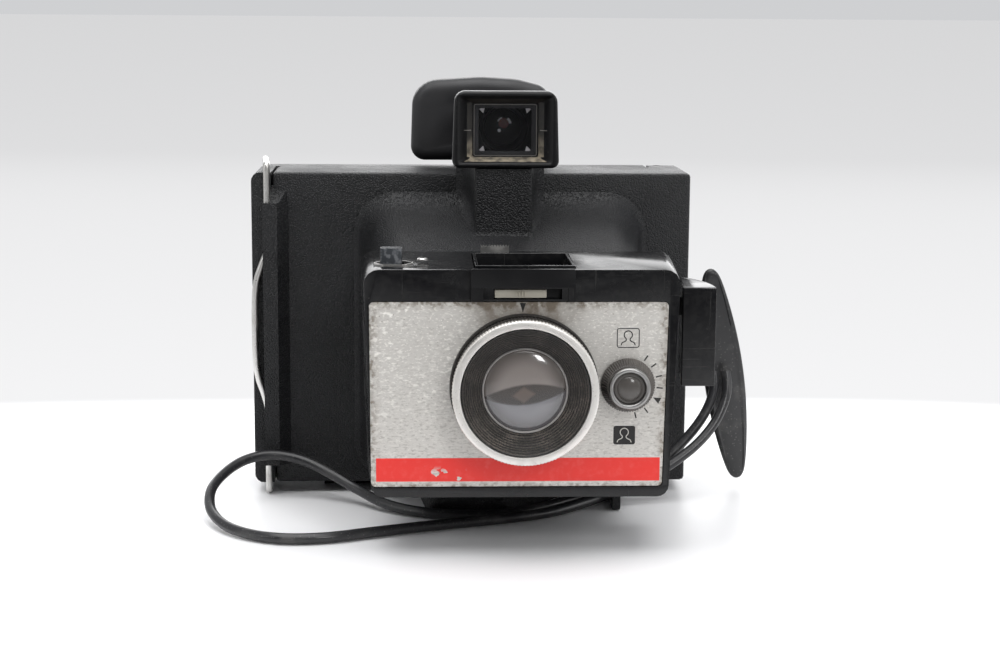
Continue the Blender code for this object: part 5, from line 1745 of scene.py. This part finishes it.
        # Pale triangles in the corners of the window: painted glints.
        painted_glints = []
        for x, z, sx, sz in ((left, low, 1, 1), (right, low, -1, 1), (right, high, -1, -1),
                             (left, high, 1, -1)):
            base = np.array([(x + sx * 0.0016, z + sz * 0.0013), (x + sx * 0.0054, z + sz * 0.0015),
                             (x + sx * 0.0046, z + sz * 0.0044)])
            painted_glints.append(slab(base, self.painted_glint_depths))
        piece("finder_facets", painted_glints, Finish.FACET, "root")

    def build(self) -> None:
        """Make the viewfinder."""
        refined("finder_tunnel", Finish.PEBBLED, 0.0004, Finish.PEBBLED_EDGE)
        self.front_frame()
        self.window()
        refined("finder_mask", Finish.MATT, 0.0001)
        refined("eyepiece_holder", Finish.HOUSING, 0.0003)
        x, _, z = middle_of("finder_eyepiece")
        # The eyepiece bead in dark red: a painted reflection.
        bead = np.array([(0.0, -0.0590), (0.0030, -0.0588), (0.0061, -0.0580), (0.0061, -0.0568),
                         (0.0046, -0.0562), (0.0025, -0.0558), (0.0, -0.0557)])
        piece("eyepiece_glass", [turned(bead, (x, z), 64, closed=False)], Finish.EYEPIECE, "root",
              ["finder_eyepiece"], 60.0)
        self.sight_barrel()
        self.shield()


# ---------------------------------------------------------------- inside


@dataclass
class FilmWorks:
    """Spreader rollers and the pieces inside the body and housing."""

    roller_radius: float = 0.0040
    journal: float = 0.0017
    levels: tuple[float, ...] = (0.0142, 0.0166, 0.1154, 0.1178)
    inner: tuple[tuple[str, Finish, float, str], ...] = (
        ("film_gate", Finish.MATT, 0.0003, "matte_black"),
        ("roller_bracket", Finish.STEEL, 0.0002, "steel"),
        ("pressure_spring", Finish.STEEL, 0.0001, "steel"),
        ("light_seal", Finish.FOAM, 0.0002, "foam_seal"),
        ("back_screw_a", Finish.STEEL, 0.0002, "steel"),
        ("back_screw_b", Finish.STEEL, 0.0002, "steel"),
        ("shutter_base_plate", Finish.MATT, 0.0001, "matte_black"),
        ("shutter_cover", Finish.MATT, 0.0001, "matte_black"),
        ("blade_pivot", Finish.STEEL, 0.0, "steel"),
        ("shutter_blade_front", Finish.SILVER, 0.0, "silver_ring"),
        ("shutter_blade_rear", Finish.SILVER, 0.0, "silver_ring"),
        ("magnet_coil", Finish.COPPER, 0.0, "copper_wire"),
        ("magnet_core", Finish.STEEL, 0.0, "steel"),
        ("circuit_board", Finish.BOARD, 0.0001, "circuit_board"),
        ("timing_capacitor", Finish.CELL, 0.0002, "cell_case"),
        ("cell_a", Finish.CELL, 0.0002, "cell_case"),
        ("cell_b", Finish.CELL, 0.0002, "cell_case"),
        ("battery_contact_top", Finish.BRASS, 0.0001, "brass_strip"),
        ("battery_contact_bottom", Finish.BRASS, 0.0001, "brass_strip"))

    def build(self) -> None:
        """Turn the two rollers, and refine the rest."""
        low, neck, shoulder, high = self.levels
        small, full, soft = self.journal, self.roller_radius, 0.0003
        profile = np.array([(0.0, low), (small - 0.0001, low), (small, low + 0.0001), (small, neck),
                            (full - soft, neck), (full, neck + soft), (full, shoulder - soft),
                            (full - soft, shoulder), (small, shoulder), (small, high - 0.0001),
                            (small - 0.0001, high), (0.0, high)])
        for side in ("front", "rear"):
            node = "spreader_roller_" + side
            x, y, _ = middle_of(node)
            piece("roller_" + side, [turned(profile, (x, y), 72, closed=False, axis="Z")],
                  Finish.ROLLER_STEEL, side + "_roller_body", [node], 35.0)
        for node, finish, rounding, slot in self.inner:
            refined(node, finish, rounding)


def main() -> None:
    """Build each sub-assembly in order."""
    logging.basicConfig(level=logging.INFO, format="%(message)s")
    for assembly in (Studio(), StrapLoop(), FilmBody(), LensCone(), FrontHousing(), FlashWell(),
                     FocusingLens(), ElectricEye(), Viewfinder(), FilmWorks()):
        LOG.info("making %s", type(assembly).__name__)
        assembly.build()


if __name__ == "__main__":
    main()
